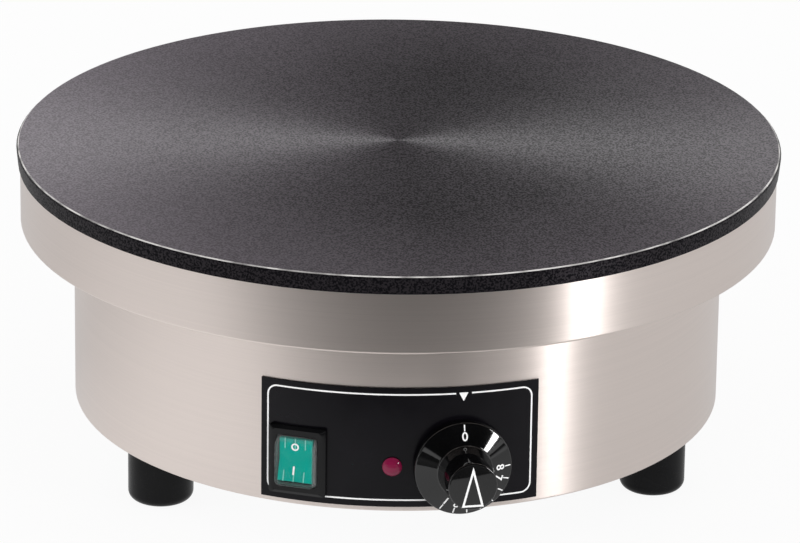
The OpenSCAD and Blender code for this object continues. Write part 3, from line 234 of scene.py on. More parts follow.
floor_finish, tree, shader, place = new_finish("studio_floor", Roughness=0.9)
shader.inputs["Base Color"].default_value = (0.9, 0.9, 0.9, 1)
shader.inputs["Specular IOR Level"].default_value = 0
own_white = add(tree, "Emission")
spot = add(tree, "VectorMath", operation="DISTANCE")
join(tree, place, spot, 0)
spot.inputs[1].default_value = BRIGHT_SPOT
falling_off = ranged(tree, spot.outputs["Value"], SPOT_R, SPOT_END_R, 0, DIMMED_BY)
mirrored = add(tree, "LightPath").outputs["Is Glossy Ray"]
join(tree, sums(tree, "SUBTRACT", 1.0, sums(tree, "MULTIPLY", mirrored, falling_off)),
     own_white, "Strength")
share = add(tree, "MixShader")
join(tree, sums(tree, "MULTIPLY", seen_directly(tree), OWN_WHITE_SHARE), share, 0)
join(tree, shader.outputs[0], share, 1)
join(tree, own_white.outputs[0], share, 2)
join(tree, share.outputs[0], tree.nodes["Material Output"], "Surface")
floor.data.materials.append(floor_finish)
print("floor laid")

# %% Lay the dark cloth
CLOTH_WIDE, CLOTH_DEEP, CLOTH_EDGE, CLOTH_Z = 9, 6, -0.365, 0.002
GLOW_MIDDLE, GLOW_REACH, GLOW_POWER = 0.04, 0.46, 1.9
GLOW_STARTS, GLOW_FULL = 0.36, 0.12
GLOW_MOST, GLOW_LEAST = 0.90, 0.045
cloth_y = CLOTH_EDGE - CLOTH_DEEP / 2
bpy.ops.mesh.primitive_plane_add(size=1, location=(0, cloth_y, CLOTH_Z))
cloth = bpy.context.object
cloth.name = "dark_cloth"
bpy.ops.object.mode_set(mode="EDIT")
bpy.ops.transform.resize(value=(CLOTH_WIDE, CLOTH_DEEP, 1),
                         center_override=(0, cloth_y, 0))
bpy.ops.mesh.subdivide(number_cuts=3)
bpy.ops.object.mode_set(mode="OBJECT")
cloth_finish, tree, shader, place = new_finish("dark_cloth", Roughness=1.0)
shader.inputs["Base Color"].default_value = (0.01, 0.01, 0.01, 1)
shader.inputs["Specular IOR Level"].default_value = 0
on_cloth = add(tree, "SeparateXYZ")
join(tree, place, on_cloth, 0)
from_middle = sums(tree, "ABSOLUTE",
                   sums(tree, "SUBTRACT", on_cloth.outputs["X"], GLOW_MIDDLE))
lit = sums(tree, "POWER", ranged(tree, from_middle, 0, GLOW_REACH, 0, 1), GLOW_POWER)
near = ranged(tree, on_cloth.outputs["Y"], CLOTH_DEEP / 2 - GLOW_STARTS,
              CLOTH_DEEP / 2 - GLOW_FULL, 0, GLOW_MOST)
join(tree, sums(tree, "ADD", sums(tree, "MULTIPLY", lit, near), GLOW_LEAST), shader,
     "Emission Strength")
shader.inputs["Emission Color"].default_value = (1, 1, 1, 1)
cloth.data.materials.append(cloth_finish)
cloth.visible_camera = False
cloth.visible_diffuse = False
cloth.visible_shadow = False
print("cloth laid")

# %% Paint the sky
SKY_WHITE, SKY_DARK, LIGHT_SKY = 0.97, 0.01, 0.80
sky = bpy.data.worlds.new("studio")
sky.use_nodes = True
bpy.context.scene.world = sky
tree = sky.node_tree
direction = add(tree, "SeparateXYZ")
join(tree, add(tree, "TexCoord").outputs["Generated"], direction, 0)
height = direction.outputs["Z"]
overhead = ranged(tree, height, 0.38, 0.52, 0, 0.97)
behind_lens = sums(tree, "MULTIPLY",
                   ranged(tree, direction.outputs["Y"], -0.05, -0.35, 0, 1),
                   ranged(tree, height, 0.05, 0.08, 0, 1))
seen = add(tree, "ValToRGB")
seen.color_ramp.elements[0].color = (SKY_WHITE, SKY_WHITE, SKY_WHITE, 1)
seen.color_ramp.elements[1].color = (SKY_DARK, SKY_DARK, SKY_DARK, 1)
dark = sums(tree, "MAXIMUM", overhead, behind_lens)
join(tree, dark, seen, "Fac")
picture_sky = add(tree, "Background")
join(tree, seen.outputs[0], picture_sky, "Color")
light_sky = tree.nodes["Background"]
light_sky.inputs["Color"].default_value = (1, 1, 1, 1)
light_sky.inputs["Strength"].default_value = LIGHT_SKY
share = add(tree, "MixShader")
join(tree, seen_directly(tree), share, 0)
join(tree, light_sky.outputs[0], share, 1)
join(tree, picture_sky.outputs[0], share, 2)
join(tree, share.outputs[0], tree.nodes["World Output"], "Surface")
print("sky painted")


# %% Hang the soft boxes
def soft_box(name, azimuth, distance, height, width, tall, power):
    """An area lamp round the object, azimuth 0 at the photographer, aimed at it."""
    turn = math.radians(azimuth)
    place = Vector((math.sin(turn), -math.cos(turn), 0)) * distance
    place.z = height
    bpy.ops.object.light_add(type="AREA", location=place)
    lamp = bpy.context.object
    lamp.name = name
    lamp.data.shape = "RECTANGLE"
    lamp.data.size = width
    lamp.data.size_y = tall
    lamp.data.energy = power
    aim = Vector((0, 0, 0.08)) - place
    lamp.rotation_euler = aim.to_track_quat("-Z", "Y").to_euler()
    lamp.visible_camera = False
    return lamp


soft_box("strip_right", azimuth=54, distance=2.2, height=0.40, width=0.17, tall=0.8,
         power=17)
broad = soft_box("broad_left", azimuth=-68, distance=2.2, height=0.55, width=1.1,
                 tall=1.0, power=12)
broad.visible_glossy = False

# %% [markdown]
# ## Finishes of the metals
#
# The ring and the drum are stainless sheet, brushed while they turned. Fine
# scratches run round the axis, so a highlight stays narrow sideways and is
# smeared up and down. That is an anisotropic shader whose tangent crosses the
# marks. The streaks themselves are a noise that is long in x and y and very fine
# in z: it has no seam, because it never asks for an angle. They are kept faint,
# because strong ones look like the grain of wood.

# %% Define the brushed steel
STREAK_DARK, STREAK_PALE, STREAK_GLOSS = 0.965, 1.03, 0.02


def brushed_steel(name, colour, rough, smear, streak_depth):
    """Stainless sheet; smear is the anisotropy, streak_depth a bump in metres."""
    finish, tree, shader, place = new_finish(name, Metallic=1.0, Anisotropic=smear)
    fine = grain(tree, place, 40, 3, stretch=(0.2, 0.2, 80))
    broad = grain(tree, place, 9, 3, stretch=(0.25, 0.25, 90))
    streaks = sums(tree, "ADD", sums(tree, "MULTIPLY", fine, 0.6),
                   sums(tree, "MULTIPLY", broad, 0.4))
    low = tuple(c * STREAK_DARK for c in colour)
    high = tuple(min(1, c * STREAK_PALE) for c in colour)
    join(tree, two_tone(tree, spread(tree, streaks), low, high), shader, "Base Color")
    join(tree, spread(tree, streaks, rough - STREAK_GLOSS, rough + STREAK_GLOSS),
         shader, "Roughness")
    join(tree, bump(tree, streaks, streak_depth), shader, "Normal")
    join(tree, across_turning_marks(tree, place), shader, "Tangent")
    return finish


WARM_STEEL = (0.80, 0.715, 0.672)
ring_steel = brushed_steel("ring_brushed_steel", WARM_STEEL, 0.31, 0.80, 4e-6)
drum_steel = brushed_steel("drum_brushed_steel", WARM_STEEL, 0.30, 0.80, 4e-6)
print(ring_steel.name, drum_steel.name)

# %% [markdown]
# ### The iron plate
#
# The plate is grey cast iron, turned on a lathe and then seasoned nearly black.
# Four things show. The turning marks lie in rings about the middle and smear
# the reflection of the bright backdrop to both sides. A fine speckle comes from
# the pores of the iron. The top is paler towards the outside, and paler still
# towards the left, where the paleness is painted light from that side. Here and
# there the edge of the chamfer shows as a thin bright line: bare metal where the
# black has rubbed off, painted pale as a highlight that the edge catches. It lies
# above a rim that is darker than the top.

# %% Make the iron finish
CHAMFER_IN = 198.8 * MM
PLATE_TOP = 168.1 * MM
PORE_FROM, PORE_TO = 0.44, 0.57
EDGE_WIDE = 0.0003
iron, tree, shader, place = new_finish("seasoned_iron", Anisotropic=0.92)
radius = radius_of(tree, place)
on_plate = add(tree, "SeparateXYZ")
join(tree, place, on_plate, 0)
on_rim = ranged(tree, radius, CHAMFER_IN, CHAMFER_IN + 0.0002, 0, 1)
pores = grain(tree, place, 950, 2)
clouds = grain(tree, place, 14, 3)
speckle = ranged(tree, pores, PORE_FROM, PORE_TO, 0, 1)
top_tone = two_tone(tree, speckle, (0.000, 0.000, 0.000), (0.052, 0.045, 0.052))
# Paler towards the outside; the paleness towards the left is painted light, as from a
# lamp close on that side.
paler_outward_and_painted_left_light = sums(tree, "ADD", ranged(tree, radius, 0.110, 0.190, 0, 0.3),
             ranged(tree, on_plate.outputs["X"], 0.02, -0.19, 0, 0.7))
pale_and_painted_light_tone = add(tree, "MixRGB", blend_type="ADD")
join(tree, paler_outward_and_painted_left_light, pale_and_painted_light_tone, 0)
join(tree, top_tone, pale_and_painted_light_tone, 1)
pale_and_painted_light_tone.inputs[2].default_value = (0.120, 0.105, 0.120, 1)
rim_tone = two_tone(tree, speckle, (0.004, 0.004, 0.005), (0.016, 0.014, 0.016))
tone = add(tree, "MixRGB")
join(tree, on_rim, tone, 0)
join(tree, pale_and_painted_light_tone.outputs[0], tone, 1)
join(tree, rim_tone, tone, 2)
# Painted highlight: a thin pale line along the chamfer's edge, broken up here and
# there, stands for rubbed bare metal catching the light.
edge = sums(tree, "COMPARE", radius, CHAMFER_IN + 0.0002)
tree.nodes[-1].inputs[2].default_value = EDGE_WIDE
on_top = sums(tree, "GREATER_THAN", on_plate.outputs["Z"], PLATE_TOP - 0.0015)
edge_wear_and_glint = sums(tree, "MULTIPLY", on_top,
            ranged(tree, grain(tree, place, 60, 4), 0.36, 0.56, 0.2, 0.9))
rubbed_edge_painted_highlight = sums(tree, "MULTIPLY", edge, edge_wear_and_glint)
edge_painted_highlight_tone = add(tree, "MixRGB")
join(tree, rubbed_edge_painted_highlight, edge_painted_highlight_tone, 0)
join(tree, tone.outputs[0], edge_painted_highlight_tone, 1)
edge_painted_highlight_tone.inputs[2].default_value = (0.72, 0.70, 0.68, 1)
join(tree, edge_painted_highlight_tone.outputs[0], shader, "Base Color")
top_shine = ranged(tree, pores, PORE_FROM, PORE_TO, 0.14, 0.86)
rim_shine = sums(tree, "MULTIPLY", on_rim, 0.8)
join(tree, sums(tree, "MULTIPLY", top_shine, sums(tree, "SUBTRACT", 1.0, rim_shine)),
     shader, "Specular IOR Level")
shader.inputs["Specular Tint"].default_value = (1.0, 0.885, 1.0, 1)
join(tree, ranged(tree, sums(tree, "ADD", speckle, clouds), 0, 2, 0.34, 0.52),
     shader, "Roughness")
rings = add(tree, "TexWave", wave_type="RINGS", rings_direction="Z",
            scale=150, distortion=0.6, detail=2, detail_scale=1.5)
join(tree, place, rings, "Vector")
ring_share = ranged(tree, radius, 0.02, 0.11, 0.5, 0.06)
relief = sums(tree, "ADD", sums(tree, "MULTIPLY", rings.outputs["Fac"], ring_share),
              sums(tree, "MULTIPLY", pores, 0.8))
join(tree, bump(tree, relief, 0.00016), shader, "Normal")
join(tree, across_turning_marks(tree, place), shader, "Tangent")
print(iron.name)

# %% [markdown]
# ### Plated, bright and heated metals
#
# Inside are zinc-plated studs and screws, a rolled bright reflector, a heating
# tube that has gone brown from heat, brass and copper. They share one recipe: a
# metal whose colour and gloss drift a little from place to place, with faint
# marks. Only the numbers differ.


# %% Make the other metals
def plain_metal(name, colour, rough, drift, size, marks):
    """Features of the drift are `size` metres wide; marks are a bump in metres."""
    finish, tree, shader, place = new_finish(name, Metallic=1.0)
    patches = grain(tree, place, 1 / size, 3)
    low = tuple(c * (1 - drift) for c in colour)
    high = tuple(min(1, c * (1 + drift)) for c in colour)
    join(tree, two_tone(tree, spread(tree, patches), low, high), shader, "Base Color")
    join(tree, spread(tree, patches, rough - 0.06, rough + 0.08), shader, "Roughness")
    join(tree, bump(tree, grain(tree, place, 4 / size, 2), marks), shader, "Normal")
    return finish


finishes = {
    "zinc_steel": plain_metal("zinc_plate", (0.70, 0.71, 0.73), 0.30, 0.08,
                              0.004, 5e-6),
    "bright_sheet": plain_metal("rolled_bright_sheet", (0.82, 0.82, 0.83), 0.20, 0.04,
                                0.03, 5e-6),
    "element_steel": plain_metal("heated_steel", (0.26, 0.22, 0.19), 0.42, 0.30,
                                 0.018, 1e-5),
    "copper": plain_metal("bare_copper", (0.72, 0.40, 0.27), 0.30, 0.12, 0.004, 5e-6),
    "brass": plain_metal("plain_brass", (0.76, 0.58, 0.28), 0.28, 0.10, 0.004, 5e-6),
    "stainless": drum_steel,
    "cast_iron": iron,
}
print(len(finishes), "metals")

# %% [markdown]
# ## Finishes of the plastics and the rest
#
# Moulded plastic is never quite even: the tool leaves a fine texture, and the
# gloss drifts where the piece cooled slowly. One recipe takes the colour, the
# gloss and the size of the texture. Rubber, ceramic and the sleeves of the wires
# use it too.


# %% Make the moulded finishes
def moulded(name, colour, rough, texture, depth, drift=0.12, shine=0.5):
    """A moulded surface; texture is the width of its grain, depth its height."""
    finish, tree, shader, place = new_finish(name, Specular_IOR_Level=shine)
    patches = grain(tree, place, 60, 3)
    low = tuple(c * (1 - drift) for c in colour)
    high = tuple(min(1, c * (1 + drift) + 0.001) for c in colour)
    join(tree, two_tone(tree, spread(tree, patches), low, high), shader, "Base Color")
    join(tree, spread(tree, patches, rough * 0.85, rough * 1.15), shader, "Roughness")
    join(tree, bump(tree, grain(tree, place, 1 / texture, 2), depth), shader, "Normal")
    return finish


finishes.update({
    "ceramic": moulded("glazed_ceramic", (0.88, 0.86, 0.82), 0.25, 0.002, 1e-5, 0.03),
    "foot_plastic": moulded("foot_plastic", (0.004, 0.004, 0.0045), 0.26, 0.0008, 1e-5,
                            shine=0.15),
    "panel_black": moulded("panel_overlay", (0.003, 0.0025, 0.004), 0.24, 0.0006, 2e-6,
                           shine=0.18),
    "knob_black": moulded("knob_plastic", (0.002, 0.002, 0.0022), 0.05, 0.004, 3e-6,
                          shine=0.66),
    "frame_black": moulded("frame_plastic", (0.003, 0.003, 0.0035), 0.12, 0.0008, 3e-6,
                           shine=0.25),
    "housing_black": moulded("housing_plastic", (0.05, 0.05, 0.05), 0.5, 0.0008, 1e-5),
    "rocker_teal": moulded("rocker_plastic", (0.0, 0.34, 0.275), 0.28, 0.003, 4e-6,
                           0.06, shine=0.1),
    "lens_red": moulded("lens_plastic", (0.22, 0.008, 0.05), 0.12, 0.002, 6e-6, 0.1,
                        shine=0.4),
    "stat_body": moulded("thermostat_case", (0.56, 0.45, 0.31), 0.45, 0.001, 1e-5),
    "rubber_black": moulded("seal_rubber", (0.02, 0.02, 0.02), 0.7, 0.0006, 2e-5),
    "nylon_black": moulded("gland_nylon", (0.022, 0.022, 0.023), 0.42, 0.0008, 2e-5),
    "ivory_plastic": moulded("ivory_plastic", (0.82, 0.79, 0.70), 0.4, 0.0008, 1e-5,
                             0.04),
    "wire_brown": moulded("brown_sleeve", (0.16, 0.06, 0.03), 0.45, 0.001, 1e-5),
    "wire_blue": moulded("blue_sleeve", (0.05, 0.16, 0.45), 0.45, 0.001, 1e-5),
    "wire_green": moulded("green_sleeve", (0.30, 0.50, 0.05), 0.45, 0.001, 1e-5),
    "lamp_glass": moulded("lamp_glass", (0.85, 0.55, 0.42), 0.08, 0.002, 2e-6, 0.08),
})
white_ink = moulded("white_ink", (0.97, 0.97, 0.97), 0.45, 0.0005, 3e-6, 0.02)
print(len(finishes), "finishes so far")

# %% [markdown]
# ### The insulation and the clear cap
#
# The blanket under the plate is mineral felt: two noises at different scales
# give it fibres and tufts. The cap over the switch is clear and flexible. Glass
# that bends light is slow and grainy, so this one is a thin film instead: nearly
# see-through where it is looked at squarely, and denser where it turns away,
# which Layer Weight measures.

# %% Make the felt and the clear film
felt, tree, shader, place = new_finish("mineral_felt", Roughness=0.95)
tufts = grain(tree, place, 120, 4)
fibres = grain(tree, place, 900, 2, stretch=(1, 1, 3))
mixed = sums(tree, "MULTIPLY", sums(tree, "ADD", tufts, fibres), 0.5)
join(tree, two_tone(tree, spread(tree, mixed), (0.62, 0.55, 0.38), (0.90, 0.85, 0.68)),
     shader, "Base Color")
join(tree, bump(tree, mixed, 0.0008), shader, "Normal")
finishes["mineral_wool"] = felt

clear, tree, shader, place = new_finish("clear_film", Roughness=0.06)
facing = add(tree, "LayerWeight", blend=0.5).outputs["Facing"]
turned_away = sums(tree, "POWER", facing, 2.5)
haze = grain(tree, place, 300, 2)
join(tree, two_tone(tree, haze, (0.42, 0.45, 0.45), (0.55, 0.58, 0.58)), shader,
     "Base Color")
join(tree, sums(tree, "ADD", sums(tree, "MULTIPLY", turned_away, 0.6),
                spread(tree, haze, 0.0, 0.012)), shader, "Alpha")
finishes["clear_cover"] = clear
print(felt.name, clear.name)

# %% [markdown]
# ## Dress the CAD nodes
#
# The record names a material slot for each node. A node's object has one
# material per slot, so each is swapped for the finish of the same name. The ring
# gets a slightly rougher brush than the drum.

# %% Assign a finish to every CAD node
def dress(node, finish):
    """Gives every slot of a node one finish."""
    for slot in node.material_slots:
        slot.material = finish


slot_names = sorted(finishes, key=len, reverse=True)
undressed = []
for name, node in nodes.items():
    loaded = node.material_slots[0].material.name if node.material_slots else ""
    slot = next((s for s in slot_names if loaded.startswith(s)), None)
    if slot is None:
        undressed.append((name, loaded))
        continue
    dress(node, finishes[slot])
dress(nodes["upper_pan"], ring_steel)
print("dressed", len(nodes) - len(undressed), "nodes; left:", undressed)

# %% [markdown]
# ## The bench
#
# The pieces that follow are modelled on a bench of their own: there x is right,
# y is up, z points out of the drum, and one unit is one millimetre, so that the
# numbers can be read like a drawing. `on_drum` is the place of such a bench on
# the drum's curved wall, and `settle` brings a piece there. It bakes the place
# and the scale into the mesh, hangs the piece on its moving body and hides the
# CAD node it stands for.

# %% Define the bench
DRUM_R = 170.2
PANEL_OUT = 0.8
CONTROLS_Z = 55.0
SWITCH_ARC, PILOT_ARC, KNOB_ARC = -49.2, -1.2, 33.7


def on_drum(arc, height=CONTROLS_Z, out=0.0):
    """The bench's place at an arc length round the drum, in millimetres."""
    turn = arc / DRUM_R
    away = Vector((math.sin(turn), -math.cos(turn), 0))
    along = Vector((math.cos(turn), math.sin(turn), 0))
    place = Matrix((along, Vector((0, 0, 1)), away)).transposed().to_4x4()
    place.translation = away * (DRUM_R + out) + Vector((0, 0, height))
    return Matrix.Scale(MM, 4) @ place


def clear_desk():
    """Leaves edit mode and selects nothing."""
    if bpy.context.object and bpy.context.object.mode != "OBJECT":
        bpy.ops.object.mode_set(mode="OBJECT")
    bpy.ops.object.select_all(action="DESELECT")


def choose(piece, kind, wanted):
    """Selects edges by their middle and direction, or faces by middle and normal."""
    bpy.ops.object.mode_set(mode="EDIT")
    bpy.ops.mesh.select_mode(type=kind)
    bpy.ops.mesh.select_all(action="DESELECT")
    bpy.ops.object.mode_set(mode="OBJECT")
    mesh = piece.data
    if kind == "FACE":
        for face in mesh.polygons:
            face.select = bool(wanted(face.center, face.normal))
    else:
        for edge in mesh.edges:
            one, two = (mesh.vertices[i].co for i in edge.vertices)
            edge.select = bool(wanted((one + two) / 2, (two - one).normalized()))
    bpy.ops.object.mode_set(mode="EDIT")


def finish_with(piece, kind, **settings):
    """Adds a modifier, sets it and applies it."""
    clear_desk()
    piece.select_set(True)
    bpy.context.view_layer.objects.active = piece
    bpy.ops.object.modifier_add(type=kind)
    modifier = piece.modifiers[-1]
    for name, value in settings.items():
        setattr(modifier, name, value)
    bpy.ops.object.modifier_apply(modifier=modifier.name)


def bake_place(piece, place):
    """Moves a piece's mesh, and leaves its object at the origin."""
    clear_desk()
    piece.matrix_world = place @ piece.matrix_world
    piece.select_set(True)
    bpy.context.view_layer.objects.active = piece
    bpy.ops.object.transform_apply(location=True, rotation=True, scale=True)


def settle(piece, name, place, body, finish, instead_of=(), smooth=30):
    """Puts a bench piece on the crepe maker."""
    bake_place(piece, place)
    piece.name = name
    piece.data.name = name
    bpy.ops.object.shade_smooth_by_angle(angle=math.radians(smooth))
    piece.data.materials.clear()
    piece.data.materials.append(finish)
    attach(piece, body)
    if instead_of:
        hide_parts(*instead_of)
    print(name, len(piece.data.polygons), "faces on", body)


def lathe(stations, segments=96):
    """A ring extruded and resized from station to station (radius, z), then closed."""
    clear_desk()
    radius, height = stations[0]
    bpy.ops.mesh.primitive_circle_add(vertices=segments, radius=radius,
                                      location=(0, 0, height))
    piece = bpy.context.object
    bpy.ops.object.transform_apply(location=True)
    bpy.ops.object.mode_set(mode="EDIT")
    bpy.ops.mesh.select_mode(type="VERT")
    bpy.ops.mesh.select_all(action="SELECT")
    for next_radius, next_height in stations[1:]:
        bpy.ops.mesh.extrude_region_move(
            TRANSFORM_OT_translate={"value": (0, 0, next_height - height)})
        grow = next_radius / radius
        bpy.ops.transform.resize(value=(grow, grow, 1), center_override=(0, 0, 0))
        radius, height = next_radius, next_height
    bpy.ops.mesh.select_all(action="SELECT")
    bpy.ops.mesh.fill_holes(sides=0)
    bpy.ops.mesh.select_all(action="SELECT")
    bpy.ops.mesh.normals_make_consistent(inside=False)
    bpy.ops.object.mode_set(mode="OBJECT")
    return piece


# %% [markdown]
# ## The knob
#
# The knob is one glossy moulding: a flat skirt with the dial on its cone, and a
# grip with a small taper. It is turned from one ring. The path runs from the end
# of the grip down the outside, round the rim, up the hollow back, down again
# round the hub and into the bore for the shaft, and closes there. A bevel then
# rounds every edge by 0.8 mm, and it is those small fillets that draw the thin
# bright arcs in the picture.

# %% Turn the knob
RIM_R, RIM_OUT, BACK_OUT = 25.0, 6.0, 2.0
FOOT_R, FOOT_OUT = 14.0, 10.0
GRIP_R, GRIP_OUT = 12.5, 30.0
HOLLOW_R, HOLLOW_FOOT_R, HOLLOW_END_R = 23.0, 12.2, 10.6
HOLLOW_RIM_OUT, HOLLOW_FOOT_OUT, HOLLOW_END_OUT = 4.4, 8.6, 27.6
HUB_R, HUB_OUT = 5.6, 4.2
BORE_R, BORE_END_OUT = 3.05, 20.3
knob = lathe([(GRIP_R, GRIP_OUT), (FOOT_R, FOOT_OUT), (RIM_R, RIM_OUT),
              (RIM_R, BACK_OUT), (HOLLOW_R, BACK_OUT), (HOLLOW_R, HOLLOW_RIM_OUT),
              (HOLLOW_FOOT_R, HOLLOW_FOOT_OUT), (HOLLOW_END_R, HOLLOW_END_OUT),
              (HUB_R, HOLLOW_END_OUT), (HUB_R, HUB_OUT), (BORE_R, HUB_OUT),
              (BORE_R, BORE_END_OUT)])
finish_with(knob, "BEVEL", width=0.8, segments=4, limit_method="ANGLE",
            angle_limit=math.radians(35))
settle(knob, "dial_knob", on_drum(KNOB_ARC), "knob", finishes["knob_black"],
       ["knob"])

# %% [markdown]
# ### The dial's numbers
#
# The print on the cone is a 0 and the numbers 1 to 8, each with a short tick
# towards the rim. A font gives the numbers. Each becomes a mesh, is laid on the
# cone with its top outwards, and sinks in by half its small thickness. The tick
# is made once, and each copy has its own mesh. Everything is joined into one
# piece that turns with the knob. The angles run clockwise from the top, where the
# 0 is. The 1 is at the lower left, and the rest follow it anticlockwise up to the
# 8 at the right.

# %% Print the dial
def on_cone(angle, radius):
    """A place on the knob's cone, clockwise from the top; y runs out to the rim."""
    slope = math.atan2(FOOT_OUT - RIM_OUT, RIM_R - FOOT_R)
    lift = RIM_OUT + (RIM_R - radius) * math.tan(slope)
    return (Matrix.Rotation(-math.radians(angle), 4, "Z")
            @ Matrix.Translation((0, radius, lift))
            @ Matrix.Rotation(-slope, 4, "X"))


def numeral(text, tall):
    """A bold numeral as a mesh, centred, with its front a little above z = 0."""
    clear_desk()
    bpy.ops.object.text_add()
    piece = bpy.context.object
    piece.data.body = text
    piece.data.size = tall / 0.70
    piece.data.align_x = "CENTER"
    piece.data.align_y = "CENTER"
    piece.data.offset = 0.09
    piece.data.extrude = 0.05
    piece.data.resolution_u = 6
    bpy.ops.object.convert(target="MESH")
    return piece


def bar(width, length, thick=0.1):
    """A bar of ink round the origin: a plane, resized, rounded and raised."""
    clear_desk()
    bpy.ops.mesh.primitive_plane_add(size=1, location=(0, 0, -thick / 2))
    piece = bpy.context.object
    bpy.ops.object.transform_apply(location=True)
    bpy.ops.object.mode_set(mode="EDIT")
    bpy.ops.transform.resize(value=(width, length, 1), center_override=(0, 0, 0))
    bpy.ops.mesh.bevel(offset=width * 0.2, segments=2, affect="VERTICES")
    bpy.ops.mesh.extrude_region_move(TRANSFORM_OT_translate={"value": (0, 0, thick)})
    bpy.ops.mesh.select_all(action="SELECT")
    bpy.ops.mesh.normals_make_consistent(inside=False)
    bpy.ops.object.mode_set(mode="OBJECT")
    return piece


def copy_of(piece):
    """A copy with a mesh of its own."""
    twin = piece.copy()
    twin.data = piece.data.copy()
    bpy.context.collection.objects.link(twin)
    return twin


def joined(pieces):
    """Several pieces made one."""
    clear_desk()
    for piece in pieces:
        piece.select_set(True)
    bpy.context.view_layer.objects.active = pieces[0]
    bpy.ops.object.join()
    return bpy.context.object


ONE_AT, STEP = 210, 17.4
NUMERAL_TALL, NUMERAL_AT_R = 4.4, 18.2
TICK_WIDE, TICK_LONG, TICK_AT_R = 0.6, 3.3, 22.5
dial = [("0", 0.0)] + [(str(n), ONE_AT - (n - 1) * STEP) for n in range(1, 9)]
tick = bar(TICK_WIDE, TICK_LONG)
prints = []
for text, angle in dial:
    mark = numeral(text, NUMERAL_TALL)
    bake_place(mark, on_cone(angle, NUMERAL_AT_R))
    line = copy_of(tick)
    bake_place(line, on_cone(angle, TICK_AT_R))
    prints += [mark, line]
bpy.data.objects.remove(tick)
settle(joined(prints), "dial_print", on_drum(KNOB_ARC), "knob", white_ink)

# %% [markdown]
# ### The pointer on the grip
#
# A tall outlined triangle marks the end of the grip. It starts as a circle of
# three points, which is a triangle, resized to its width and height. An even
# inset gives the line, the inside is deleted and the rest is raised.


# %% Print the pointer
def triangle(width, tall, line=None, thick=0.1, tip=0.25):
    """A triangle of ink, apex up, round the middle of its height."""
    clear_desk()
    bpy.ops.mesh.primitive_circle_add(vertices=3, radius=1, fill_type="NGON")
    piece = bpy.context.object
    bpy.ops.object.mode_set(mode="EDIT")
    bpy.ops.transform.resize(value=(width / math.sqrt(3), tall / 1.5, 1),
                             center_override=(0, 0, 0))
    bpy.ops.transform.translate(value=(0, -tall / 6, -thick / 2))
    if tip:
        bpy.ops.mesh.bevel(offset=tip, segments=2, affect="VERTICES")
    if line:
        bpy.ops.mesh.inset(thickness=line)
        bpy.ops.mesh.delete(type="FACE")
        bpy.ops.mesh.select_all(action="SELECT")
    bpy.ops.mesh.extrude_region_move(TRANSFORM_OT_translate={"value": (0, 0, thick)})
    bpy.ops.mesh.select_all(action="SELECT")
    bpy.ops.mesh.normals_make_consistent(inside=False)
    bpy.ops.object.mode_set(mode="OBJECT")
    return piece


POINTER_WIDE, POINTER_TALL, POINTER_LINE = 11.2, 21.6, 1.05
settle(triangle(POINTER_WIDE, POINTER_TALL, line=POINTER_LINE, tip=0), "grip_pointer",
       on_drum(KNOB_ARC, out=GRIP_OUT), "knob", white_ink)

# %% [markdown]
# ## The print on the panel
#
# A white line with rounded corners frames the panel, and a small triangle in a
# gap of that line is the index for the dial. The line is a plane with beveled
# corners and an even inset. Cuts at every few millimetres let it bend, and the
# Simple Deform modifier bends it round the panel.

# %% Print the border line
BORDER_LEFT, BORDER_RIGHT, BORDER_LOW, BORDER_TOP = -65.8, 70.6, 36.2, 94.3
BORDER_ROUND, BORDER_LINE, CUT_EVERY = 5.5, 0.8, 3
GAP_LEFT, GAP_RIGHT = 30.4, 38.5
INK = 0.12
stretch = (DRUM_R + PANEL_OUT) / DRUM_R
border_wide = (BORDER_RIGHT - BORDER_LEFT) * stretch
border_tall = BORDER_TOP - BORDER_LOW
border_middle = (BORDER_LEFT + BORDER_RIGHT) / 2
clear_desk()
bpy.ops.mesh.primitive_plane_add(size=1)
border = bpy.context.object
bpy.ops.object.mode_set(mode="EDIT")
bpy.ops.transform.resize(value=(border_wide, border_tall, 1),
                         center_override=(0, 0, 0))
bpy.ops.mesh.bevel(offset=BORDER_ROUND, segments=8, affect="VERTICES")
bpy.ops.mesh.inset(thickness=BORDER_LINE)
bpy.ops.mesh.delete(type="FACE")
gap = [(arc - border_middle) * stretch for arc in (GAP_LEFT, GAP_RIGHT)]
for x in gap + list(range(-68, 69, CUT_EVERY)):
    bpy.ops.mesh.select_all(action="SELECT")
    bpy.ops.mesh.bisect(plane_co=(x, 0, 0), plane_no=(1, 0, 0))
choose(border, "FACE",
       lambda middle, normal: middle.y > 0 and gap[0] < middle.x < gap[1])
bpy.ops.mesh.delete(type="FACE")
bpy.ops.mesh.select_all(action="SELECT")
bpy.ops.mesh.extrude_region_move(TRANSFORM_OT_translate={"value": (0, 0, INK)})
bpy.ops.mesh.select_all(action="SELECT")
bpy.ops.mesh.normals_make_consistent(inside=False)
bpy.ops.object.mode_set(mode="OBJECT")


def wrap(piece, middle_arc, height, out):
    """Stands a flat bench piece up and bends it round the drum's axis."""
    upright = Matrix.Rotation(math.pi / 2, 4, "X")
    bake_place(piece, upright)
    wide = max(v.co.x for v in piece.data.vertices) * 2
    radius = DRUM_R + out
    finish_with(piece, "SIMPLE_DEFORM", deform_method="BEND", deform_axis="Z",
                angle=wide / radius)
    return (Matrix.Scale(MM, 4) @ Matrix.Rotation(middle_arc / DRUM_R, 4, "Z")
            @ Matrix.Translation((0, -radius, height)))


place = wrap(border, border_middle, (BORDER_LOW + BORDER_TOP) / 2, PANEL_OUT)
settle(border, "panel_border", place, "chassis", white_ink)

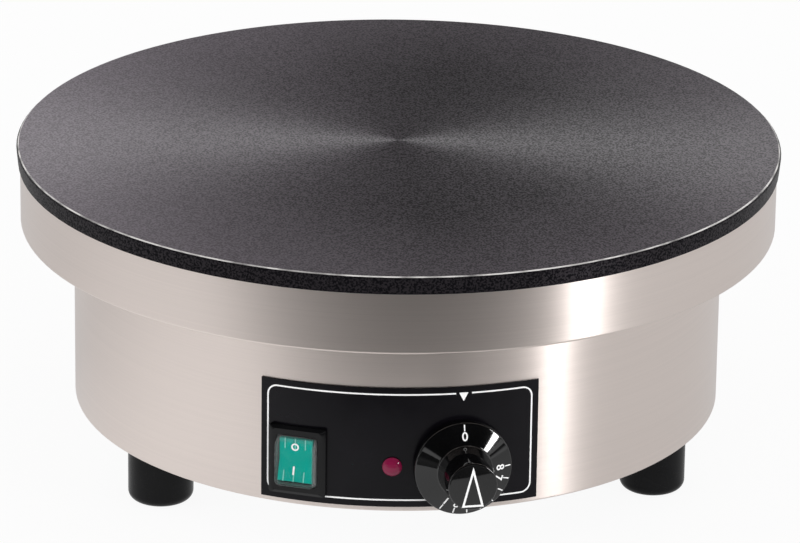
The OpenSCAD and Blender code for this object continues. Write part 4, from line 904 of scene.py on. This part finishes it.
# %% Print the index
INDEX_WIDE, INDEX_TALL, INDEX_ARC, INDEX_Z = 4.8, 4.6, 34.3, 91.95
index = triangle(INDEX_WIDE, INDEX_TALL, thick=INK)
bpy.ops.object.mode_set(mode="EDIT")
bpy.ops.mesh.select_all(action="SELECT")
bpy.ops.transform.resize(value=(1, -1, 1), center_override=(0, 0, 0))
bpy.ops.mesh.normals_make_consistent(inside=False)
settle(index, "dial_index", on_drum(INDEX_ARC, INDEX_Z, PANEL_OUT), "chassis",
       white_ink)

# %% [markdown]
# ## The switch
#
# Five pieces make the switch: a black frame with sloping edges, the teal rocker,
# its ribs, its marks, and a clear cap against splashes. The frame is a plane,
# raised and then inset with a depth, which gives the slope. A second inset is the
# window. The recess underneath is made the same way, and the two loops that are
# left are bridged into a closed ring. Its corners are beveled last, and a weld
# merges the slivers that the bevels leave.

# %% Model the switch frame
FRAME_W, FRAME_H, FRAME_OUT = 30.0, 37.0, 3.4
WINDOW_W, WINDOW_H, WINDOW_DEPTH = 21.6, 27.1, 0.5
SLOPE, SLOPE_DROP = 1.7, 1.05
RECESS_WALL, RECESS_DEEP = 2.2, 2.0
INSIDE_X, INSIDE_Y = 13.2, 16.6
OUTER_ROUND, INNER_ROUND = 1.3, 1.6
clear_desk()
bpy.ops.mesh.primitive_plane_add(size=1)
surround = bpy.context.object
bpy.ops.object.mode_set(mode="EDIT")
bpy.ops.transform.resize(value=(FRAME_W, FRAME_H, 1), center_override=(0, 0, 0))
bpy.ops.mesh.extrude_region_move(
    TRANSFORM_OT_translate={"value": (0, 0, FRAME_OUT - SLOPE_DROP)})
bpy.ops.mesh.inset(thickness=SLOPE, depth=SLOPE_DROP)
window_inset = (FRAME_W - 2 * SLOPE - WINDOW_W) / 2
bpy.ops.mesh.inset(thickness=window_inset)
window_tall = FRAME_H - 2 * SLOPE - 2 * window_inset
bpy.ops.transform.resize(value=(1, WINDOW_H / window_tall, 1),
                         center_override=(0, 0, 0))
bpy.ops.mesh.extrude_region_move(
    TRANSFORM_OT_translate={"value": (0, 0, -WINDOW_DEPTH)})
choose(surround, "FACE", lambda middle, normal: middle.z < 0.01)
bpy.ops.mesh.inset(thickness=RECESS_WALL)
bpy.ops.mesh.extrude_region_move(
    TRANSFORM_OT_translate={"value": (0, 0, RECESS_DEEP)})
window_z = FRAME_OUT - WINDOW_DEPTH
choose(surround, "FACE", lambda middle, normal: middle.xy.length < 1)
bpy.ops.mesh.delete(type="ONLY_FACE")


def on_open_loop(middle, along):
    """Whether an edge lies on the border of one of the two openings."""
    level = min(abs(middle.z - RECESS_DEEP), abs(middle.z - window_z)) < 0.01
    flat = abs(along.z) < 0.1
    return level and flat and abs(middle.x) < INSIDE_X and abs(middle.y) < INSIDE_Y


choose(surround, "EDGE", on_open_loop)
bpy.ops.mesh.bridge_edge_loops()
choose(surround, "EDGE",
       lambda middle, along: abs(along.z) > 0.3 and abs(middle.x) > INSIDE_X)
bpy.ops.mesh.bevel(offset=OUTER_ROUND, segments=5)
choose(surround, "EDGE",
       lambda middle, along: abs(along.z) > 0.3 and abs(middle.x) < INSIDE_X)
bpy.ops.mesh.bevel(offset=INNER_ROUND, segments=5)
bpy.ops.mesh.select_all(action="SELECT")
bpy.ops.mesh.normals_make_consistent(inside=False)
bpy.ops.object.mode_set(mode="OBJECT")
finish_with(surround, "WELD", merge_threshold=0.05)
settle(surround, "switch_surround", on_drum(SWITCH_ARC), "chassis",
       finishes["frame_black"], ["switch_frame"])

# %% [markdown]
# ### The rocker
#
# The rocker is a slice of a cylinder that tilts about its own axis, with a
# shallow V for a face, so the pressed end lies nearly level and the other stands
# up. Half of it is cut from the cylinder by three planes, and a mirror gives the
# other half. A bevel rounds its edges, and a weld merges what it leaves too close
# together. It is modelled level and then leaned back by its resting tilt.

# %% Cut the rocker
ROCKER_W, ROCKER_R, ROCKER_FACE, ROCKER_LEAN = 17.4, 12.2, 3.7, 9.0
ROCKER_ARC, ROCKER_OUT = SWITCH_ARC - 0.5, -1.0
BACK_POINT, BACK_AWAY = Vector((0, 0, -3)), Vector((0, -0.34, -1))
MIDDLE, OTHER_HALF = Vector((0, 0, 0)), Vector((0, -1, 0))
lean = math.radians(ROCKER_LEAN)
face_up = Vector((0, -math.sin(lean), math.cos(lean)))
apex = Vector((0, 0, ROCKER_FACE / math.cos(lean)))
clear_desk()
bpy.ops.mesh.primitive_cylinder_add(vertices=80, radius=ROCKER_R, depth=ROCKER_W,
                                    rotation=(0, math.pi / 2, 0))
rocker = bpy.context.object
bpy.ops.object.transform_apply(rotation=True)
bpy.ops.object.mode_set(mode="EDIT")
for point, away, fill in ((apex, face_up, True), (BACK_POINT, BACK_AWAY, True),
                          (MIDDLE, OTHER_HALF, False)):
    bpy.ops.mesh.select_all(action="SELECT")
    bpy.ops.mesh.bisect(plane_co=point, plane_no=away, use_fill=fill,
                        clear_outer=True)
bpy.ops.object.mode_set(mode="OBJECT")
finish_with(rocker, "MIRROR", use_axis=(False, True, False), merge_threshold=0.001)
finish_with(rocker, "BEVEL", width=0.45, segments=3, limit_method="ANGLE",
            angle_limit=math.radians(40))
finish_with(rocker, "WELD", merge_threshold=0.06)
rocker_place = on_drum(ROCKER_ARC, out=ROCKER_OUT) @ Matrix.Rotation(-lean, 4, "X")
settle(rocker, "rocker_button", rocker_place, "rocker", finishes["rocker_teal"],
       ["switch_rocker"])

# %% [markdown]
# ### The ribs and marks of the rocker
#
# Three thin ribs at each end give a finger some hold. Their paler teal is a
# painted highlight, for the light they catch.
# A ring near the top and a bar near the bottom are the usual marks for off and
# on. The ribs are one bar of the dial's kind, copied; the ring is a circle, inset
# and raised.

# %% Add the ribs
RIB_XS, RIB_Y = (-5.7, -0.3, 5.0), 8.6
RIB_WIDE, RIB_LONG, RIB_THICK = 0.5, 5.6, 0.5
# Painted highlight: the ribs get a paler teal than the rocker.
rib_painted_highlight_teal = moulded("rib_edge", (0.22, 0.62, 0.54), 0.3, 0.002, 2e-6, 0.08)


def on_face(x, y):
    """A place on the rocker's face, y along it from the middle."""
    up = 1 if y > 0 else -1
    return (Matrix.Translation(apex) @ Matrix.Rotation(up * lean, 4, "X")
            @ Matrix.Translation((x, y, 0)))


rib = bar(RIB_WIDE, RIB_LONG, thick=RIB_THICK)
ribs = []
for x in RIB_XS:
    for y in (RIB_Y, -RIB_Y):
        one = copy_of(rib)
        bake_place(one, on_face(x, y))
        ribs.append(one)
bpy.data.objects.remove(rib)
settle(joined(ribs), "rocker_ribs", rocker_place, "rocker", rib_painted_highlight_teal)

# %% Add the marks
RING_R, RING_LINE, RING_SUNK, RING_THICK = 2.0, 0.75, 0.05, 0.35
RING_AT, BAR_AT = (-0.4, 6.9), (-0.6, -5.6)
BAR_WIDE, BAR_LONG, BAR_THICK = 0.9, 4.4, 0.6
clear_desk()
bpy.ops.mesh.primitive_circle_add(vertices=40, radius=RING_R, fill_type="NGON",
                                  location=(0, 0, -RING_SUNK))
ring = bpy.context.object
bpy.ops.object.transform_apply(location=True)
bpy.ops.object.mode_set(mode="EDIT")
bpy.ops.mesh.inset(thickness=RING_LINE)
bpy.ops.mesh.delete(type="FACE")
bpy.ops.mesh.select_all(action="SELECT")
bpy.ops.mesh.extrude_region_move(
    TRANSFORM_OT_translate={"value": (0, 0, RING_THICK)})
bpy.ops.mesh.select_all(action="SELECT")
bpy.ops.mesh.normals_make_consistent(inside=False)
bpy.ops.object.mode_set(mode="OBJECT")
bake_place(ring, on_face(*RING_AT))
on_bar = bar(BAR_WIDE, BAR_LONG, thick=BAR_THICK)
bake_place(on_bar, on_face(*BAR_AT))
settle(joined([ring, on_bar]), "rocker_marks", rocker_place, "rocker", white_ink)

# %% [markdown]
# ### The clear cap
#
# The cap is a soft clear box with rounded corners and a little taper. A cube is
# resized, its top face drawn in, and its corners beveled. The underside is
# deleted, and Solidify gives the wall its thickness towards the inside.

# %% Model the clear cap
CAP_W, CAP_H, CAP_FOOT, CAP_OUT, CAP_WALL = 21.0, 26.5, 2.1, 8.2, 0.8
CAP_TOP_W, CAP_TOP_H = 20.3, 24.4
CAP_CORNER, CAP_EDGE = 2.5, 0.6
clear_desk()
bpy.ops.mesh.primitive_cube_add(size=1)
cap = bpy.context.object
bpy.ops.object.mode_set(mode="EDIT")
bpy.ops.transform.resize(value=(CAP_W, CAP_H, CAP_OUT - CAP_FOOT),
                         center_override=(0, 0, 0))
bpy.ops.transform.translate(value=(0, 0, (CAP_OUT + CAP_FOOT) / 2))
choose(cap, "FACE", lambda middle, normal: normal.z > 0.9)
bpy.ops.transform.resize(value=(CAP_TOP_W / CAP_W, CAP_TOP_H / CAP_H, 1),
                         center_override=(0, 0, 0))
choose(cap, "EDGE", lambda middle, along: abs(along.z) > 0.5)
bpy.ops.mesh.bevel(offset=CAP_CORNER, segments=6)
choose(cap, "EDGE", lambda middle, along: middle.z > CAP_OUT - 0.01)
bpy.ops.mesh.bevel(offset=CAP_EDGE, segments=3)
choose(cap, "FACE", lambda middle, normal: normal.z < -0.9)
bpy.ops.mesh.delete(type="FACE")
bpy.ops.mesh.select_all(action="SELECT")
bpy.ops.mesh.normals_make_consistent(inside=False)
bpy.ops.object.mode_set(mode="OBJECT")
finish_with(cap, "SOLIDIFY", thickness=CAP_WALL, offset=-1)
settle(cap, "clear_cap", on_drum(SWITCH_ARC), "chassis", finishes["clear_cover"],
       ["splash_cap"])

# %% [markdown]
# ## The pilot lens
#
# A low dome on a short rim, turned like the knob. The stations of the dome come
# from the circle through its rim and its crown.

# %% Turn the lens
LENS_R, LENS_RIM, LENS_OUT = 5.0, 1.8, 4.0
LENS_SEAT, LENS_STEM_R, LENS_STEM_OUT = PANEL_OUT + 0.05, 3.2, -2.9
DOME_STEPS = 12
crown = LENS_OUT - LENS_RIM
dome_r = (LENS_R ** 2 + crown ** 2) / (2 * crown)
widest = math.asin(LENS_R / dome_r)
dome = [(dome_r * math.sin(widest * step / DOME_STEPS),
         LENS_OUT - dome_r + dome_r * math.cos(widest * step / DOME_STEPS))
        for step in range(1, DOME_STEPS + 1)]
lens = lathe(dome + [(LENS_R, LENS_SEAT), (LENS_STEM_R, LENS_SEAT),
                     (LENS_STEM_R, LENS_STEM_OUT)], segments=64)
finish_with(lens, "BEVEL", width=0.25, segments=2, limit_method="ANGLE",
            angle_limit=math.radians(30))
settle(lens, "lens_dome", on_drum(PILOT_ARC), "chassis", finishes["lens_red"],
       ["pilot_lens"], smooth=35)
